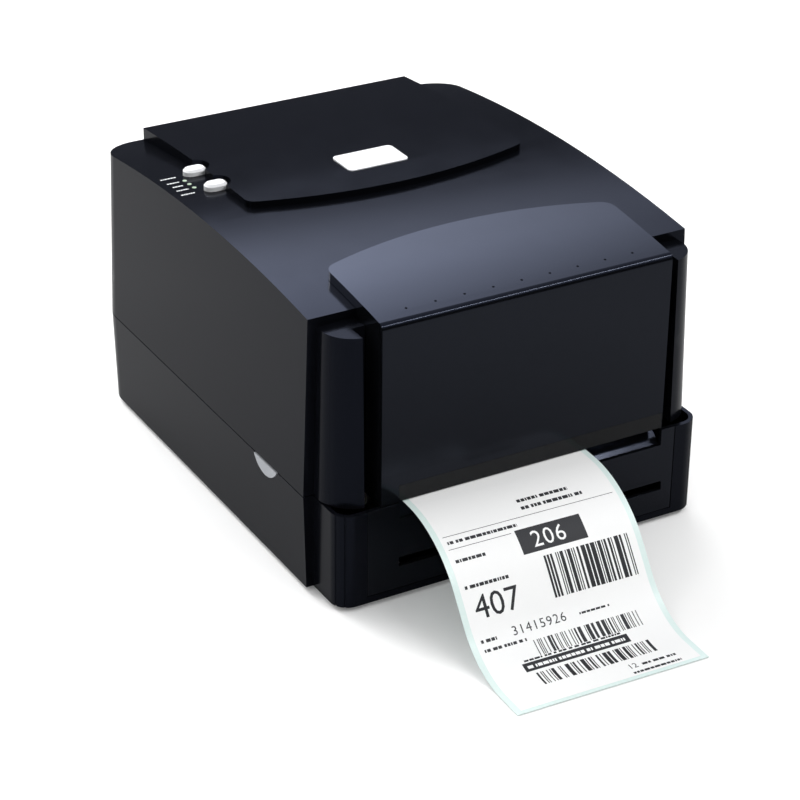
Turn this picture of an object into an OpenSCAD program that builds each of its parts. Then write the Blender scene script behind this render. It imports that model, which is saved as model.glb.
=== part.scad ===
/* [Case] */
// Width of the case at the parting line
case_w = 232; // [228:1:244]
// Depth of the case, from the lower front panel to the rear wall
case_d = 285; // [283:1:295]
// Height of the parting line between base and cover
part_z = 57.5; // [57:0.5:60]
// Height of the highest line of the cover
crown_z = 164.5; // [163:0.5:170]
// Radius of the crowned top, seen from the side
crown_r = 970; // [900:10:1200]
// Height of the underside of the base above the table
base_z = 3; // [2.5:0.5:3.5]
// Wall of the mouldings
wall = 2.5; // [2:0.1:2.8]
// Plan radius of the rear corners
corner_r = 25; // [20:1:30]
// Opening between the two halves of the case
seam = 0.6; // [0.5:0.1:0.8]

/* [Front] */
// How far the side walls stop behind the front face
front_set = 27.5; // [26:0.5:30]
// How far the front block stands in from each side wall
block_step = 5.5; // [4.5:0.5:7]
// Plan radius of the round front posts
post_r = 20; // [18:1:22]
// How far the round front posts end below the highest line of the cover
post_drop = 11.5; // [9.5:0.5:14.5]
// How far the raised front lid stands in from each side of the case
lid_in = 30.2; // [29.5:0.1:32]
// Height of the raised lid above the crowned top
lid_rise = 5.5; // [4.5:0.5:6]
// Depth of the raised lid at its middle
lid_d = 74.5; // [70:0.5:78]
// Bow of the lid's rear edge
lid_bow = 15; // [8:1:18]
// Radius of the lid's front edge
lid_edge_r = 4; // [3.5:0.5:5]
// How much narrower the window and the label exit are than the lid
exit_less = 10.6; // [10.2:0.1:14]
// Height of the smoked window
window_h = 9; // [7:0.5:12]
// Drop of the exit lip below the parting line
exit_drop = 9.7; // [8:0.1:11]

/* [Top pad] */
// How far the raised pad stands in from each side of the case
pad_in = 30.6; // [29:0.1:33]
// Rise of the pad's highest line above the cover's
pad_rise = 3.8; // [3:0.1:7.5]
// Radius of the pad's crown, seen from the side
pad_r = 1350; // [1200:10:1500]
// Bow of the pad's front edge
pad_bow = 14; // [8:1:20]

/* [Label] */
// Width of the label web
label_w = 110.6; // [106:0.2:111]
// Diameter of the label roll
roll_d = 108; // [90:1:109]
// Thickness of the label web
web_t = 0.3; // [0.2:0.05:0.4]
// Angle of the hanging part of the web below level
web_drop = 53; // [48:1:56]
// Radius of the upper bend of the hanging web
bend_top_r = 61.8; // [55:0.2:64]
// Radius of the lower bend of the hanging web
bend_low_r = 46.6; // [40:0.2:50]

/* [Drive] */
// Diameter of the platen roller
platen_d = 17; // [16:0.5:18]
// Module of the spur gears
gear_m = 0.8; // [0.75:0.05:0.8]
// Teeth of the large wheel of the idler
idler_big_n = 48; // [44:2:48]
// Teeth of each transfer gear in the cover
transfer_n = 32; // [30:2:34]

/* [Controls] */
// Length of a panel button
button_l = 13; // [11:0.5:14]
// Width of a panel button
button_w = 8.6; // [7.5:0.1:9]
// Height of a panel button above the cover
button_h = 3.6; // [2.5:0.1:5]
// Travel of a panel button
button_travel = 1; // [0.5:0.1:1]
// Length of a half-moon release button along the parting line
latch_l = 26; // [22:1:30]
// Depth of a half-moon release button
latch_h = 7.5; // [6:0.5:9]
// Travel of a half-moon release button
latch_travel = 2.5; // [1.5:0.5:2.5]

/* [Hidden] */
$fn = 96;
fine = 720;

// Overrun of cuts, clearance between pieces that move, clearance of a turning fit
cut = 1;
gap = 0.3;
fit = 0.05;

// Places of the case
hinge_out = 0.3;
knuckle_r = 3.5;
web_out = 7.1;
web_tail = 17;
web_rest = 0.6;
straight_z = part_z - (bend_top_r + bend_low_r) * (1 - cos(web_drop)) - web_rest;
straight_l = straight_z / sin(web_drop);
web_run = web_out + (bend_top_r + bend_low_r) * sin(web_drop) + straight_l * cos(web_drop) + web_tail;
// The origin lies below the middle of the whole object, its hanging label included
place_step = 0.1;
front_y = place_step * round((web_run - case_d - hinge_out - knuckle_r) / 2 / place_step);
rear_y = front_y + case_d;
wing_y = front_y + front_set;
cover_z = part_z + seam / 2;
base_top = part_z - seam / 2;
half_w = case_w / 2;
post_z = crown_z - post_drop;
pad_z = crown_z + pad_rise;
lid_w = case_w - 2 * lid_in;
pad_w = case_w - 2 * pad_in;
exit_w = lid_w - exit_less;
// Height above everything
top_z = pad_z + lid_rise;
floor_z = base_z + wall;
crown_in = 139.5;
crown_y = front_y + crown_in;
cover_lean = 0.032;
base_lean = -0.026;
block_x = half_w - block_step;
post_set = 3;
post_y = front_y + post_set;
post_lean = 0.026;
base_corner_r = 10;
channel_w = 7.5;
channel_d = 14.5;
lid_x = lid_w / 2;
face_gap = 0.4;
exit_off = 5;
exit_x0 = exit_off - exit_w / 2;
exit_x1 = exit_off + exit_w / 2;
lip_z = part_z - exit_drop;
window_lift = 0.5;
window_z0 = cover_z + window_lift;
window_z1 = window_z0 + window_h;

// Label web and roll
label_x = -17;
web_z = part_z;
web_x0 = label_x - label_w / 2;
web_x1 = label_x + label_w / 2;
core_d = 31;
core_bore = 25.4;
roll_in = 76.5;
roll_y = rear_y - roll_in;
roll_lift = 10.5;
roll_z = part_z + roll_lift;

// Platen and gear train, seen along X as [y, z]
platen_in = 30.5;
platen_c = [front_y + platen_in, web_z - web_t / 2 - gap - platen_d / 2];
platen_n = 24;
pinion_n = 12;
idler_small_n = 16;
rewind_n = 30;
idler_angle = -40;
motor_angle = -22;
platen_tooth = 90;
function centres(a, b) = gear_m * (a + b) / 2;
function away(c, d, a) = c + d * [cos(a), sin(a)];
idler_c = away(platen_c, centres(platen_n, idler_small_n), idler_angle);
motor_c = away(idler_c, centres(idler_big_n, pinion_n), motor_angle);
lower_c = away(platen_c, centres(platen_n, transfer_n), 90);
upper_c = away(lower_c, centres(transfer_n, transfer_n), 90);
rewind_c = away(upper_c, centres(transfer_n, rewind_n), 90);
// Tooth angle of gear b that meshes with gear a, whose tooth stands at angle ta, in direction d
function meshed(ta, na, nb, d) = d + 180 + 180 / nb - (na / nb) * (ta - d);
idler_tooth = meshed(platen_tooth, platen_n, idler_small_n, idler_angle);
motor_tooth = meshed(idler_tooth, idler_big_n, pinion_n, motor_angle);
lower_tooth = meshed(platen_tooth, platen_n, transfer_n, 90);
upper_tooth = meshed(lower_tooth, transfer_n, transfer_n, 90);
rewind_tooth = meshed(upper_tooth, transfer_n, rewind_n, 90);

// Chassis
plate_t = 2;
chassis_room = 6.2;
chassis_x0 = web_x0 - chassis_room;
chassis_x1 = web_x1 + chassis_room;
chassis_front = 10.5;
chassis_y0 = front_y + chassis_front;
chassis_l = 126;
chassis_y1 = chassis_y0 + chassis_l;
gear_room = 2;
gear_t = 5;
gear_x = chassis_x1 + plate_t + gear_room;
big_x = gear_x + gear_t + cut;
big_t = 4;

// Small helpers
module slab(x0, x1, y0, y1, z0, z1) translate([x0, y0, z0]) cube([x1 - x0, y1 - y0, z1 - z0]);
module along_x(x0, x1) translate([x0, 0, 0]) rotate([90, 0, 90]) linear_extrude(x1 - x0) children();
module along_y(y0, y1) translate([0, y1, 0]) rotate([90, 0, 0]) linear_extrude(y1 - y0) children();
module along_z(z0, z1) translate([0, 0, z0]) linear_extrude(z1 - z0) children();
module rod(x0, x1, c, r) translate([x0, c[0], c[1]]) rotate([0, 90, 0]) cylinder(h = x1 - x0, r = r);
module post(x, y, z0, z1, r) translate([x, y, z0]) cylinder(h = z1 - z0, r = r);
module rect_2d(x0, x1, y0, y1) translate([x0, y0]) square([x1 - x0, y1 - y0]);
module pill_2d(l, w) {
  square([l - w, w], center = true);
  for (s = [-1, 1]) translate([s * (l - w) / 2, 0]) circle(d = w);
}
module round_rect_2d(x0, x1, y0, y1, r) {
  rect_2d(x0 + r, x1 - r, y0, y1);
  rect_2d(x0, x1, y0 + r, y1 - r);
  for (x = [x0 + r, x1 - r], y = [y0 + r, y1 - r]) translate([x, y]) circle(r);
}
module mirror_x() {
  children();
  mirror([1, 0, 0]) children();
}

// Height of a crown of radius r with its top at [y, z], at depth at
function crown_at(at, y, z, r) = z - r + sqrt(r * r - (at - y) * (at - y));
function cover_at(at) = crown_at(at, crown_y, crown_z, crown_r);

// Spur gear outline: tapered teeth with rounded-off tips, a tooth centred at angle tooth
tip_share = 0.21;
pitch_share = 0.235;
root_share = 0.33;
addendum_share = 0.95;
dedendum_share = 1.2;
module gear_2d(n, m, tooth) {
  rp = n * m / 2;
  step = 360 / n;
  function at(r, a) = r * [cos(a), sin(a)];
  polygon([for (i = [0:n - 1]) let (a = tooth + i * step) each [
    at(rp - dedendum_share * m, a - root_share * step),
    at(rp, a - pitch_share * step),
    at(rp + addendum_share * m, a - tip_share * step / 2),
    at(rp + addendum_share * m, a + tip_share * step / 2),
    at(rp, a + pitch_share * step),
    at(rp - dedendum_share * m, a + root_share * step)]]);
}
module spur(x0, x1, c, n, tooth) along_x(x0, x1) translate(c) gear_2d(n, gear_m, tooth);

// Half of the case between two heights, inset by t: square in front, rounded behind, walls leaning
module case_half(z0, z1, lean, t) {
  x = half_w - t;
  r = corner_r - t;
  y0 = wing_y + t;
  y1 = rear_y - t;
  d0 = lean * (z0 - part_z);
  d1 = lean * (z1 - part_z);
  along_y(y0, y1 - r) polygon([[d0 - x, z0], [x - d0, z0], [x - d1, z1], [d1 - x, z1]]);
  along_x(r - x, x - r) polygon([[y0, z0], [y1 - d0, z0], [y1 - d1, z1], [y0, z1]]);
  for (s = [-1, 1])
    translate([s * (x - r), y1 - r, z0]) cylinder(h = z1 - z0, r1 = r - d0, r2 = r - d1);
}

// Region under a crown, seen along X, moved up by lift
module under_crown_2d(y, z, r, lift) intersection() {
  translate([y, z - r]) circle(r + lift, $fn = fine);
  rect_2d(front_y - front_set, rear_y + front_set, 0, top_z);
}
module cover_solid(z0, t) intersection() {
  case_half(z0, top_z, cover_lean, t);
  along_x(-case_w, case_w) under_crown_2d(crown_y, crown_z, crown_r, -t);
}

// Round front posts between two heights, inset by t
module post_block(z0, z1, t) {
  x = block_x - t;
  r = post_r - t;
  y0 = post_y + t;
  y1 = wing_y + wall;
  d0 = post_lean * (z0 - part_z);
  d1 = post_lean * (z1 - part_z);
  along_y(y0 + r, y1) polygon([[d0 - x, z0], [x - d0, z0], [x - d1, z1], [d1 - x, z1]]);
  along_x(r - x, x - r) polygon([[y0 + d0, z0], [y1, z0], [y1, z1], [y0 + d1, z1]]);
  for (s = [-1, 1])
    translate([s * (x - r), y0 + r, z0]) cylinder(h = z1 - z0, r1 = r - d0, r2 = r - d1);
}

// Points on an arc about c from angle a0 to a1, at most step degrees apart
web_step = 3;
bow_step = 0.5;
function turn(c, r, a0, a1, step = web_step) = let (n = max(2, ceil(abs(a1 - a0) / step)))
  [for (i = [0:n]) let (a = a0 + (a1 - a0) * i / n) c + r * [cos(a), sin(a)]];

// Plan with one bowed end at y = tip, straight sides and rounded corners where they meet, inset by t.
// dir is -1 where the bow points to the front, 1 where it points to the rear; far is the other end.
function bowed(w, bow, r, l, t) = let (
    big = (w * w / 4 + bow * bow) / (2 * bow),
    q = w / 2 - r,
    c = [q, sqrt((big - r) * (big - r) - q * q) - big],
    a = atan2(c[1] + big, q)) concat(
  turn(c, r - t, 0, a),
  turn([0, -big], big - t, a + bow_step, 180 - a - bow_step, bow_step),
  turn([-q, c[1]], r - t, 180 - a, 180),
  [[t - w / 2, t - l], [w / 2 - t, t - l]]);
module bowed_2d(w, tip, bow, r, far, dir, t)
  polygon([for (p = bowed(w, bow, r, abs(far - tip), t)) [p[0], tip + dir * p[1]]]);

// Raised pad, inset by t
pad_front_in = 132.8;
pad_rear_in = 5;
pad_front = front_y + pad_front_in;
pad_rear = rear_y - pad_rear_in;
pad_top_in = 137.5;
pad_top_y = rear_y - pad_top_in;
pad_corner_r = 6;
pad_root = 14.5;
pad_z0 = crown_z - pad_root;
button_edge = 28;
button_x = button_edge - half_w;
button_in = 91;
button_mid = rear_y - button_in;
button_pitch = 26.3;
button_ys = [button_mid + button_pitch / 2, button_mid - button_pitch / 2];
scoop_r = 8.3;
module pad_solid(t) intersection() {
  along_z(pad_z0, top_z) difference() {
    bowed_2d(pad_w, pad_front, pad_bow, pad_corner_r, pad_rear, -1, t);
    for (y = button_ys) translate([button_x, y]) circle(scoop_r + t);
  }
  along_x(-case_w, case_w) under_crown_2d(pad_top_y, pad_z, pad_r, -t);
}

// Side profile of the front lid, inset by t: rounded front edge below a crown that follows the cover
lid_rear = front_y + lid_d;
lid_corner_r = 8;
lid_z0 = cover_z;
module lid_profile_2d(t) {
  big = crown_r + lid_rise;
  er = lid_edge_r;
  yc = front_y + er;
  zc = crown_z - crown_r + sqrt((big - er) * (big - er) - (yc - crown_y) * (yc - crown_y));
  yt = crown_y + (yc - crown_y) * (big - t) / (big - er);
  intersection() {
    under_crown_2d(crown_y, crown_z, crown_r, lid_rise - t);
    rect_2d(yt, rear_y, 0, top_z);
  }
  translate([yc, zc]) circle(er - t);
  rect_2d(front_y + t, 0, 0, zc);
}
module lid_solid(t) intersection() {
  along_z(lid_z0 - (t > 0 ? cut : 0), top_z)
    bowed_2d(lid_w, lid_rear, lid_bow, lid_corner_r, front_y - cut - t, 1, t);
  along_x(t - lid_x, lid_x - t) lid_profile_2d(t);
}

// Hinge at the rear: knuckles of radius knuckle_r around pins
hinge_c = [rear_y + hinge_out, part_z];
hinge_edge = 36;
hinge_x = half_w - hinge_edge;
knuckle_room = 0.4;
knuckle_w = 12;
lug_w = 6;
pin_r = 1.5;
module at_hinges() for (s = [-1, 1]) translate([s * hinge_x, 0, 0]) children();
module hinge_hole() rod(-knuckle_w - cut, knuckle_w + cut, hinge_c, pin_r + fit);
module lug_pair(r, room) for (s = [-1, 1])
  translate([s * (knuckle_w / 2 + gap + lug_w / 2), 0, 0])
    rod(-lug_w / 2 - room, lug_w / 2 + room, hinge_c, r);

// Round-ended strip along X at [x, y] from z0 to z1; its top edge is bevelled by b, or left sharp at 0
module pill_block(x, y, l, w, z0, z1, b) translate([x, y, 0]) {
  h = (l - w) / 2;
  if (b > 0) {
    along_x(-h, h) polygon([[-w / 2, z0], [w / 2, z0], [w / 2, z1 - b], [w / 2 - b, z1],
                            [b - w / 2, z1], [-w / 2, z1 - b]]);
    for (s = [-1, 1]) translate([s * h, 0, 0]) rotate_extrude()
      polygon([[0, z0], [w / 2, z0], [w / 2, z1 - b], [w / 2 - b, z1], [0, z1]]);
  } else {
    along_z(z0, z1) pill_2d(l, w);
  }
}

// Half-moon outline of a release button, seen along X, grown by t
latch_in = 69.5;
latch_y = front_y + latch_in;
latch_big = (latch_l * latch_l / 4 + latch_h * latch_h) / (2 * latch_h);
module half_moon_2d(t, top) intersection() {
  translate([latch_y, base_top - latch_h + latch_big]) circle(latch_big + t);
  rect_2d(latch_y - latch_l, latch_y + latch_l, base_z, top);
}

// Base housing
boss_r = 4;
screw_r = 1.2;
boss_h = 3.5;
foot_r = 9;
foot_edge = 24;
foot_x = half_w - foot_edge;
foot_in = 28;
foot_depth = 1;
foot_ys = [front_y + foot_in, rear_y - foot_in];
block_proud = 1;
block_y = front_y - block_proud;
sill_h = 3.7;
panel_edge = 22;
panel_x = half_w - panel_edge;
groove_r = 0.5;
groove_angles = [205, 235];
vent_l = 60;
vent_w = 3;
vent_pitch = 8;
vent_n = 6;
chassis_feet_x = 6.5;
chassis_feet = [[chassis_x0 + chassis_feet_x, chassis_y0 + chassis_feet_x],
                [chassis_x1 - chassis_feet_x, chassis_y0 + chassis_feet_x],
                [chassis_x0 + chassis_feet_x, chassis_y1 - chassis_feet_x * 3],
                [chassis_x1 - chassis_feet_x, chassis_y1 - chassis_feet_x * 3]];
module base_outline_2d(t) {
  x = block_x - t;
  r = base_corner_r - t;
  y0 = block_y + t;
  rect_2d(-x, x, y0 + r, wing_y + wall + cut);
  rect_2d(r - x, x - r, y0, wing_y);
  for (s = [-1, 1]) translate([s * (x - r), y0 + r]) circle(r);
}
module base_housing() color("#1b1c1f") difference() {
  union() {
    difference() {
      union() {
        case_half(base_z, base_top, base_lean, 0);
        along_z(base_z, base_top) base_outline_2d(0);
      }
      case_half(floor_z, part_z + cut, base_lean, wall);
      along_z(floor_z, part_z + cut) base_outline_2d(wall);
      slab(-panel_x - gap, panel_x + gap, block_y - cut, block_y + wall + cut,
           base_z + sill_h, part_z + cut);
      at_hinges() rod(-knuckle_w / 2 - gap, knuckle_w / 2 + gap, hinge_c,
                      knuckle_r + knuckle_room);
    }
    for (p = chassis_feet) post(p[0], p[1], base_z, floor_z + boss_h, boss_r);
    for (p = board_posts) post(p[0], p[1], base_z, board_z - gap, boss_r);
    at_hinges() lug_pair(knuckle_r, 0);
  }
  for (p = chassis_feet) post(p[0], p[1], floor_z - foot_depth, floor_z + boss_h + cut,
                              screw_r + fit);
  at_hinges() hinge_hole();
  for (x = [-foot_x, foot_x], y = foot_ys)
    post(x, y, base_z - cut, base_z + foot_depth + gap, foot_r + gap);
  for (s = [-1, 1], a = groove_angles)
    translate([s * (block_x - base_corner_r), block_y + base_corner_r, 0])
      post(s * base_corner_r * abs(cos(a)), base_corner_r * sin(a), base_z - cut,
           part_z + cut, groove_r);
  for (i = [0:vent_n - 1])
    translate([(i - (vent_n - 1) / 2) * vent_pitch, vent_mid, base_z - cut])
      linear_extrude(wall + 2 * cut) rotate(90) pill_2d(vent_l, vent_w);
  mirror_x() along_x(half_w - latch_room, half_w + cut) half_moon_2d(gap, part_z + cut);
  socket_holes();
}
vent_in = 102;
vent_mid = front_y + vent_in;

lip_t = 2.5;
shelf_l = 8.4;
shelf_rise = 7.2;
shelf_t = 2;
panel_set = 0.7;
panel_y = front_y - panel_set;
liner_x0 = exit_x0;
liner_more = 1.8;
liner_x1 = exit_x1 + liner_more;
liner_rise = 16.8;
liner_z0 = base_z + liner_rise;
liner_h = 5.4;
panel_lug_x = 60;
panel_lug_w = 10;
panel_lug_l = 6;
module lower_front_panel() color("#141518") {
  z0 = base_z + sill_h + gap;
  difference() {
    slab(-panel_x, panel_x, panel_y, panel_y + lip_t, z0, base_top);
    slab(exit_x0, exit_x1, panel_y - cut, panel_y + lip_t + cut, lip_z, part_z + cut);
    slab(liner_x0, liner_x1, panel_y - cut, panel_y + lip_t + cut, liner_z0, liner_z0 + liner_h);
  }
  along_x(exit_x0, exit_x1) polygon([
    [panel_y + lip_t - fit, lip_z - shelf_t], [panel_y + lip_t + shelf_l, lip_z + shelf_rise - shelf_t],
    [panel_y + lip_t + shelf_l, lip_z + shelf_rise], [panel_y + lip_t - fit, lip_z]]);
  for (s = [-1, 1])
    slab(s * panel_lug_x - panel_lug_w / 2, s * panel_lug_x + panel_lug_w / 2,
         panel_y + lip_t - fit, panel_y + lip_t + panel_lug_l, z0, z0 + shelf_t);
}

module rubber_feet() color("#26272a")
  for (x = [-foot_x, foot_x], y = foot_ys) translate([x, y, 0]) {
    cylinder(h = base_z + foot_depth - foot_bevel, r = foot_r - foot_bevel);
    translate([0, 0, foot_bevel]) cylinder(h = base_z + foot_depth - foot_bevel, r = foot_r);
    cylinder(h = foot_bevel, r1 = foot_r - foot_bevel, r2 = foot_r);
  }
foot_bevel = 0.8;

flange_z = floor_z + boss_h + gap;
head_r = 2.8;
head_h = 1.6;
module screw_down(p, z, l) translate([p[0], p[1], 0]) difference() {
  union() {
    post(0, 0, z, z + head_h, head_r);
    post(0, 0, z - l, z + fit, screw_r);
  }
  slab(-head_r, head_r, -slot_w / 2, slot_w / 2, z + head_h / 2, z + head_h + cut);
  slab(-slot_w / 2, slot_w / 2, -head_r, head_r, z + head_h / 2, z + head_h + cut);
}
slot_w = 0.7;
screw_l = 6;
module chassis_screws() color("#b9bcc0")
  for (p = chassis_feet) screw_down(p, flange_z + plate_t + fit, screw_l);

// Top cover
light_edge = 18.5;
light_x = light_edge - half_w;
light_pitch = 6;
light_off = 0.5;
light_ys = [for (i = [1, 0, -1]) button_mid + i * light_pitch - light_off];
light_r = 1.2;
frame_boss_xs = [-58, 24];
frame_boss_in = [38.5, 90.5];
frame_bosses = [for (x = frame_boss_xs, y = frame_boss_in) [x, front_y + y]];
frame_drop = 12.5;
frame_top = crown_z - frame_drop;
board_boss_edge = 15;
board_boss_x = board_boss_edge - half_w;
board_boss_r = 3;
board_boss_in = 18;
board_boss = [for (s = [-1, 1]) [board_boss_x, button_mid + s * board_boss_in]];
panel_board_drop = 14.5;
panel_board_z = crown_z - panel_board_drop;
panel_board_t = 1.6;
badge_in = 34.7;
badge_c = [0, pad_front + badge_in];
badge_l = 37;
badge_w = 22;
badge_r = 3;
badge_h = 1.4;
badge_sink = 1;
badge_z = pad_z - badge_sink;
module cover_inner() {
  cover_solid(part_z - seam, wall);
  pad_solid(wall);
  intersection() {
    post_block(part_z - seam, post_z - wall, wall);
    union() mirror_x() {
      slab(lid_x + face_gap + channel_w + wall, case_w, front_y, wing_y + wall + cut,
           part_z - seam, post_z);
      slab(lid_x + face_gap + wall, case_w, post_y + channel_d + wall, wing_y + wall + cut,
           part_z - seam, post_z);
    }
  }
}
module front_opening() {
  slab(-lid_x - face_gap, lid_x + face_gap, front_y - cut, wing_y + wall + cut,
       part_z - seam, post_z);
  slab(-lid_x - face_gap - channel_w, lid_x + face_gap + channel_w, front_y - cut,
       post_y + channel_d, part_z - seam, post_z + cut);
}
module top_cover() color("#17181b") difference() {
  union() {
    difference() {
      union() {
        cover_solid(cover_z, 0);
        post_block(cover_z, post_z, 0);
        pad_solid(0);
      }
      cover_inner();
      front_opening();
      at_hinges() lug_pair(knuckle_r + knuckle_room, gap);
    }
    intersection() {
      union() {
        for (p = frame_bosses) post(p[0], p[1], frame_top + gap, top_z, boss_r);
        for (p = board_boss)
          post(p[0], p[1], panel_board_z + panel_board_t + gap, top_z, board_boss_r);
      }
      cover_solid(cover_z, wall / 2);
    }
    at_hinges() rod(-knuckle_w / 2, knuckle_w / 2, hinge_c, knuckle_r);
  }
  at_hinges() hinge_hole();
  for (p = frame_bosses) post(p[0], p[1], frame_top, frame_top + boss_h, screw_r + fit);
  for (y = button_ys) pill_block(button_x, y, button_l + 2 * gap, button_w + 2 * gap,
                                 panel_board_z + boss_r, top_z, 0);
  for (y = light_ys) post(light_x, y, panel_board_z + boss_r, top_z, light_r + fit * 2);
  along_z(badge_z - gap, top_z) translate(badge_c)
    round_rect_2d(-badge_l / 2 - gap, badge_l / 2 + gap, -badge_w / 2 - gap, badge_w / 2 + gap,
                  badge_r + gap);
}

dot_n = 9;
dot_pitch = 16.77;
dot_in = 9.9;
dot_r = 0.7;
dot_depth = 0.6;
module front_lid() color("#17181b") difference() {
  lid_solid(0);
  lid_solid(wall);
  along_x(-case_w, case_w) intersection() {
    under_crown_2d(crown_y, crown_z, crown_r, gap);
    rect_2d(wing_y - gap, rear_y, 0, top_z);
  }
  slab(exit_x0 - fit * 2, exit_x1 + fit * 2, front_y - cut, front_y + wall + cut,
       part_z - cut, window_z1 + fit * 2);
  for (i = [0:dot_n - 1])
    post((i - (dot_n - 1) / 2) * dot_pitch, front_y + dot_in,
         cover_at(front_y + dot_in) + lid_rise - dot_depth, top_z, dot_r);
}

module tear_window() color("#3a4048") {
  slab(exit_x0, exit_x1, front_y, front_y + wall, window_z0, window_z1);
  for (x = [exit_x0 + window_tab, exit_x1 - 2 * window_tab])
    slab(x, x + window_tab, front_y + wall + gap, front_y + wall + gap + window_tab_t,
         window_z0, window_z1 + window_tab);
  for (x = [exit_x0 + window_tab, exit_x1 - 2 * window_tab])
    slab(x, x + window_tab, front_y + wall - fit, front_y + wall + gap + fit,
         window_z0, window_z1);
}
window_tab = 6;
window_tab_t = 1.5;

module badge_plate() color("#e9eaeb") along_z(badge_z, badge_z + badge_h) translate(badge_c)
  round_rect_2d(-badge_l / 2, badge_l / 2, -badge_w / 2, badge_w / 2, badge_r);

module hinge_pins() color("#b9bcc0") at_hinges()
  rod(-knuckle_w - fit, knuckle_w + fit, hinge_c, pin_r);

hook_edge = 10.5;
hook_x = half_w - hook_edge;
hook_t = 2.8;
hook_drop = 7.5;
hook_z0 = part_z - hook_drop;
hook_l = 39;
hook_z1 = hook_z0 + hook_l;
hook_w = 14;
hook_nose = 3;
bracket_rise = 8.5;
bracket_z = part_z + bracket_rise;
module latch_hooks() color("#9da1a6") mirror_x()
  translate([0, latch_y, 0]) {
    slab(hook_x, hook_x + hook_t, -hook_w / 2, hook_w / 2, hook_z0, hook_z1);
    along_y(-hook_w / 2, hook_w / 2) polygon([
      [hook_x - hook_nose, hook_z0 + hook_nose], [hook_x + fit, hook_z0],
      [hook_x + fit, hook_z0 + 2 * hook_nose], [hook_x - hook_nose, hook_z0 + 2 * hook_nose]]);
    slab(hook_x + hook_t - fit, half_w - wall - bracket_room, -hook_w / 2, hook_w / 2,
         bracket_z, hook_z1);
  }
bracket_room = 1.4;

latch_proud = 0.5;
flange_t = 1.5;
flange_w = 2;
latch_room = wall + 2 * flange_t + latch_travel;
module latch_button() {
  along_x(half_w - wall - flange_t, half_w + latch_proud) half_moon_2d(0, base_top - gap);
  along_x(half_w - wall - gap - flange_t - fit, half_w - wall - gap - fit)
    half_moon_2d(flange_w, base_top - gap);
}
module latch_button_left() color("#b4b8bc") mirror([1, 0, 0]) latch_button();
module latch_button_right() color("#b4b8bc") latch_button();

button_flange = 1.2;
button_bevel = 1.2;
button_stem_r = 2;
switch_w = 6;
switch_h = 1.6;
led_w = 2;
button_stem_z = panel_board_z + panel_board_t + switch_h + button_travel + gap;
module panel_button(y) {
  zi = cover_at(y + button_w) - wall - gap * 2;
  pill_block(button_x, y, button_l, button_w, zi - fit, cover_at(y) + button_h, button_bevel);
  pill_block(button_x, y, button_l + 2 * button_flange, button_w + 2 * button_flange,
             zi - button_flange, zi, 0);
  post(button_x, y, button_stem_z, cover_at(y), button_stem_r);
}
module pause_button() color("#f0f1f2") panel_button(button_ys[0]);
module feed_button() color("#f0f1f2") panel_button(button_ys[1]);

light_bar_room = 0.8;
light_bar_z = panel_board_z + panel_board_t + led_w + light_bar_room;
light_bar_t = 1.6;
light_bar_w = 3;
module status_light_pipes() color("#cfe8c8") {
  for (y = light_ys) post(light_x, y, light_bar_z, cover_at(y) + fit * 2, light_r);
  slab(light_x - light_bar_w / 2, light_x + light_bar_w / 2, light_ys[2] - light_bar_w / 2,
       light_ys[0] + light_bar_w / 2, light_bar_z, light_bar_z + light_bar_t);
}

panel_board_edge = 10;
panel_board_w = 26;
panel_board_x0 = panel_board_edge - half_w;
panel_board_x1 = panel_board_x0 + panel_board_w;
module panel_board() color("#2d6b43") {
  z1 = panel_board_z + panel_board_t;
  slab(panel_board_x0, panel_board_x1, panel_board_y0, panel_board_y1, panel_board_z, z1);
  for (y = button_ys)
    slab(button_x - switch_w / 2, button_x + switch_w / 2, y - switch_w / 2, y + switch_w / 2,
         z1 - fit, z1 + switch_h);
  for (y = light_ys)
    slab(light_x - led_w / 2, light_x + led_w / 2, y - led_w / 2, y + led_w / 2,
         z1 - fit, z1 + led_w);
}
panel_board_l = 44;
panel_board_y0 = button_mid - panel_board_l / 2;
panel_board_y1 = button_mid + panel_board_l / 2;

// Media bay and label roll
bay_x0 = -86;
bay_x1 = 52;
bay_t = 2;
bay_r = 57.5;
bay_rise = 14;
bay_z1 = roll_z + bay_rise;
bay_z0 = floor_z + gap;
bay_span = 52;
bay_foot_l = 32;
bay_foot_h = 14;
trough_drop = 11.5;
trough_top = part_z - trough_drop;
journal_r = 5;
journal_room = 0.1;
spindle_r = 6;
journal_l = 6;
roll_c = [roll_y, roll_z];
module bay_end(x0) difference() {
  along_x(x0, x0 + bay_t) polygon([
    [roll_y - bay_span, bay_z0], [roll_y + bay_foot_l, bay_z0],
    [roll_y + bay_foot_l, bay_z0 + bay_foot_h], [roll_y + bay_span, bay_z0 + bay_foot_h],
    [roll_y + bay_span, trough_top], [roll_y + bay_span / 3, bay_z1], [roll_y - bay_span / 3, bay_z1],
    [roll_y - bay_span, trough_top]]);
  rod(x0 - cut, x0 + bay_t + cut, roll_c, journal_r + journal_room);
  slab(x0 - cut, x0 + bay_t + cut, roll_y - journal_r - journal_room,
       roll_y + journal_r + journal_room, roll_z, bay_z1 + cut);
}
module media_bay() color("#2a2c30") {
  bay_end(bay_x0 - bay_t);
  bay_end(bay_x1);
  along_x(bay_x0 - fit, bay_x1 + fit) difference() {
    intersection() {
      translate(roll_c) circle(bay_r + bay_t);
      rect_2d(roll_y - bay_r, roll_y + bay_r, 0, trough_top);
    }
    translate(roll_c) circle(bay_r);
  }
}

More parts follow.
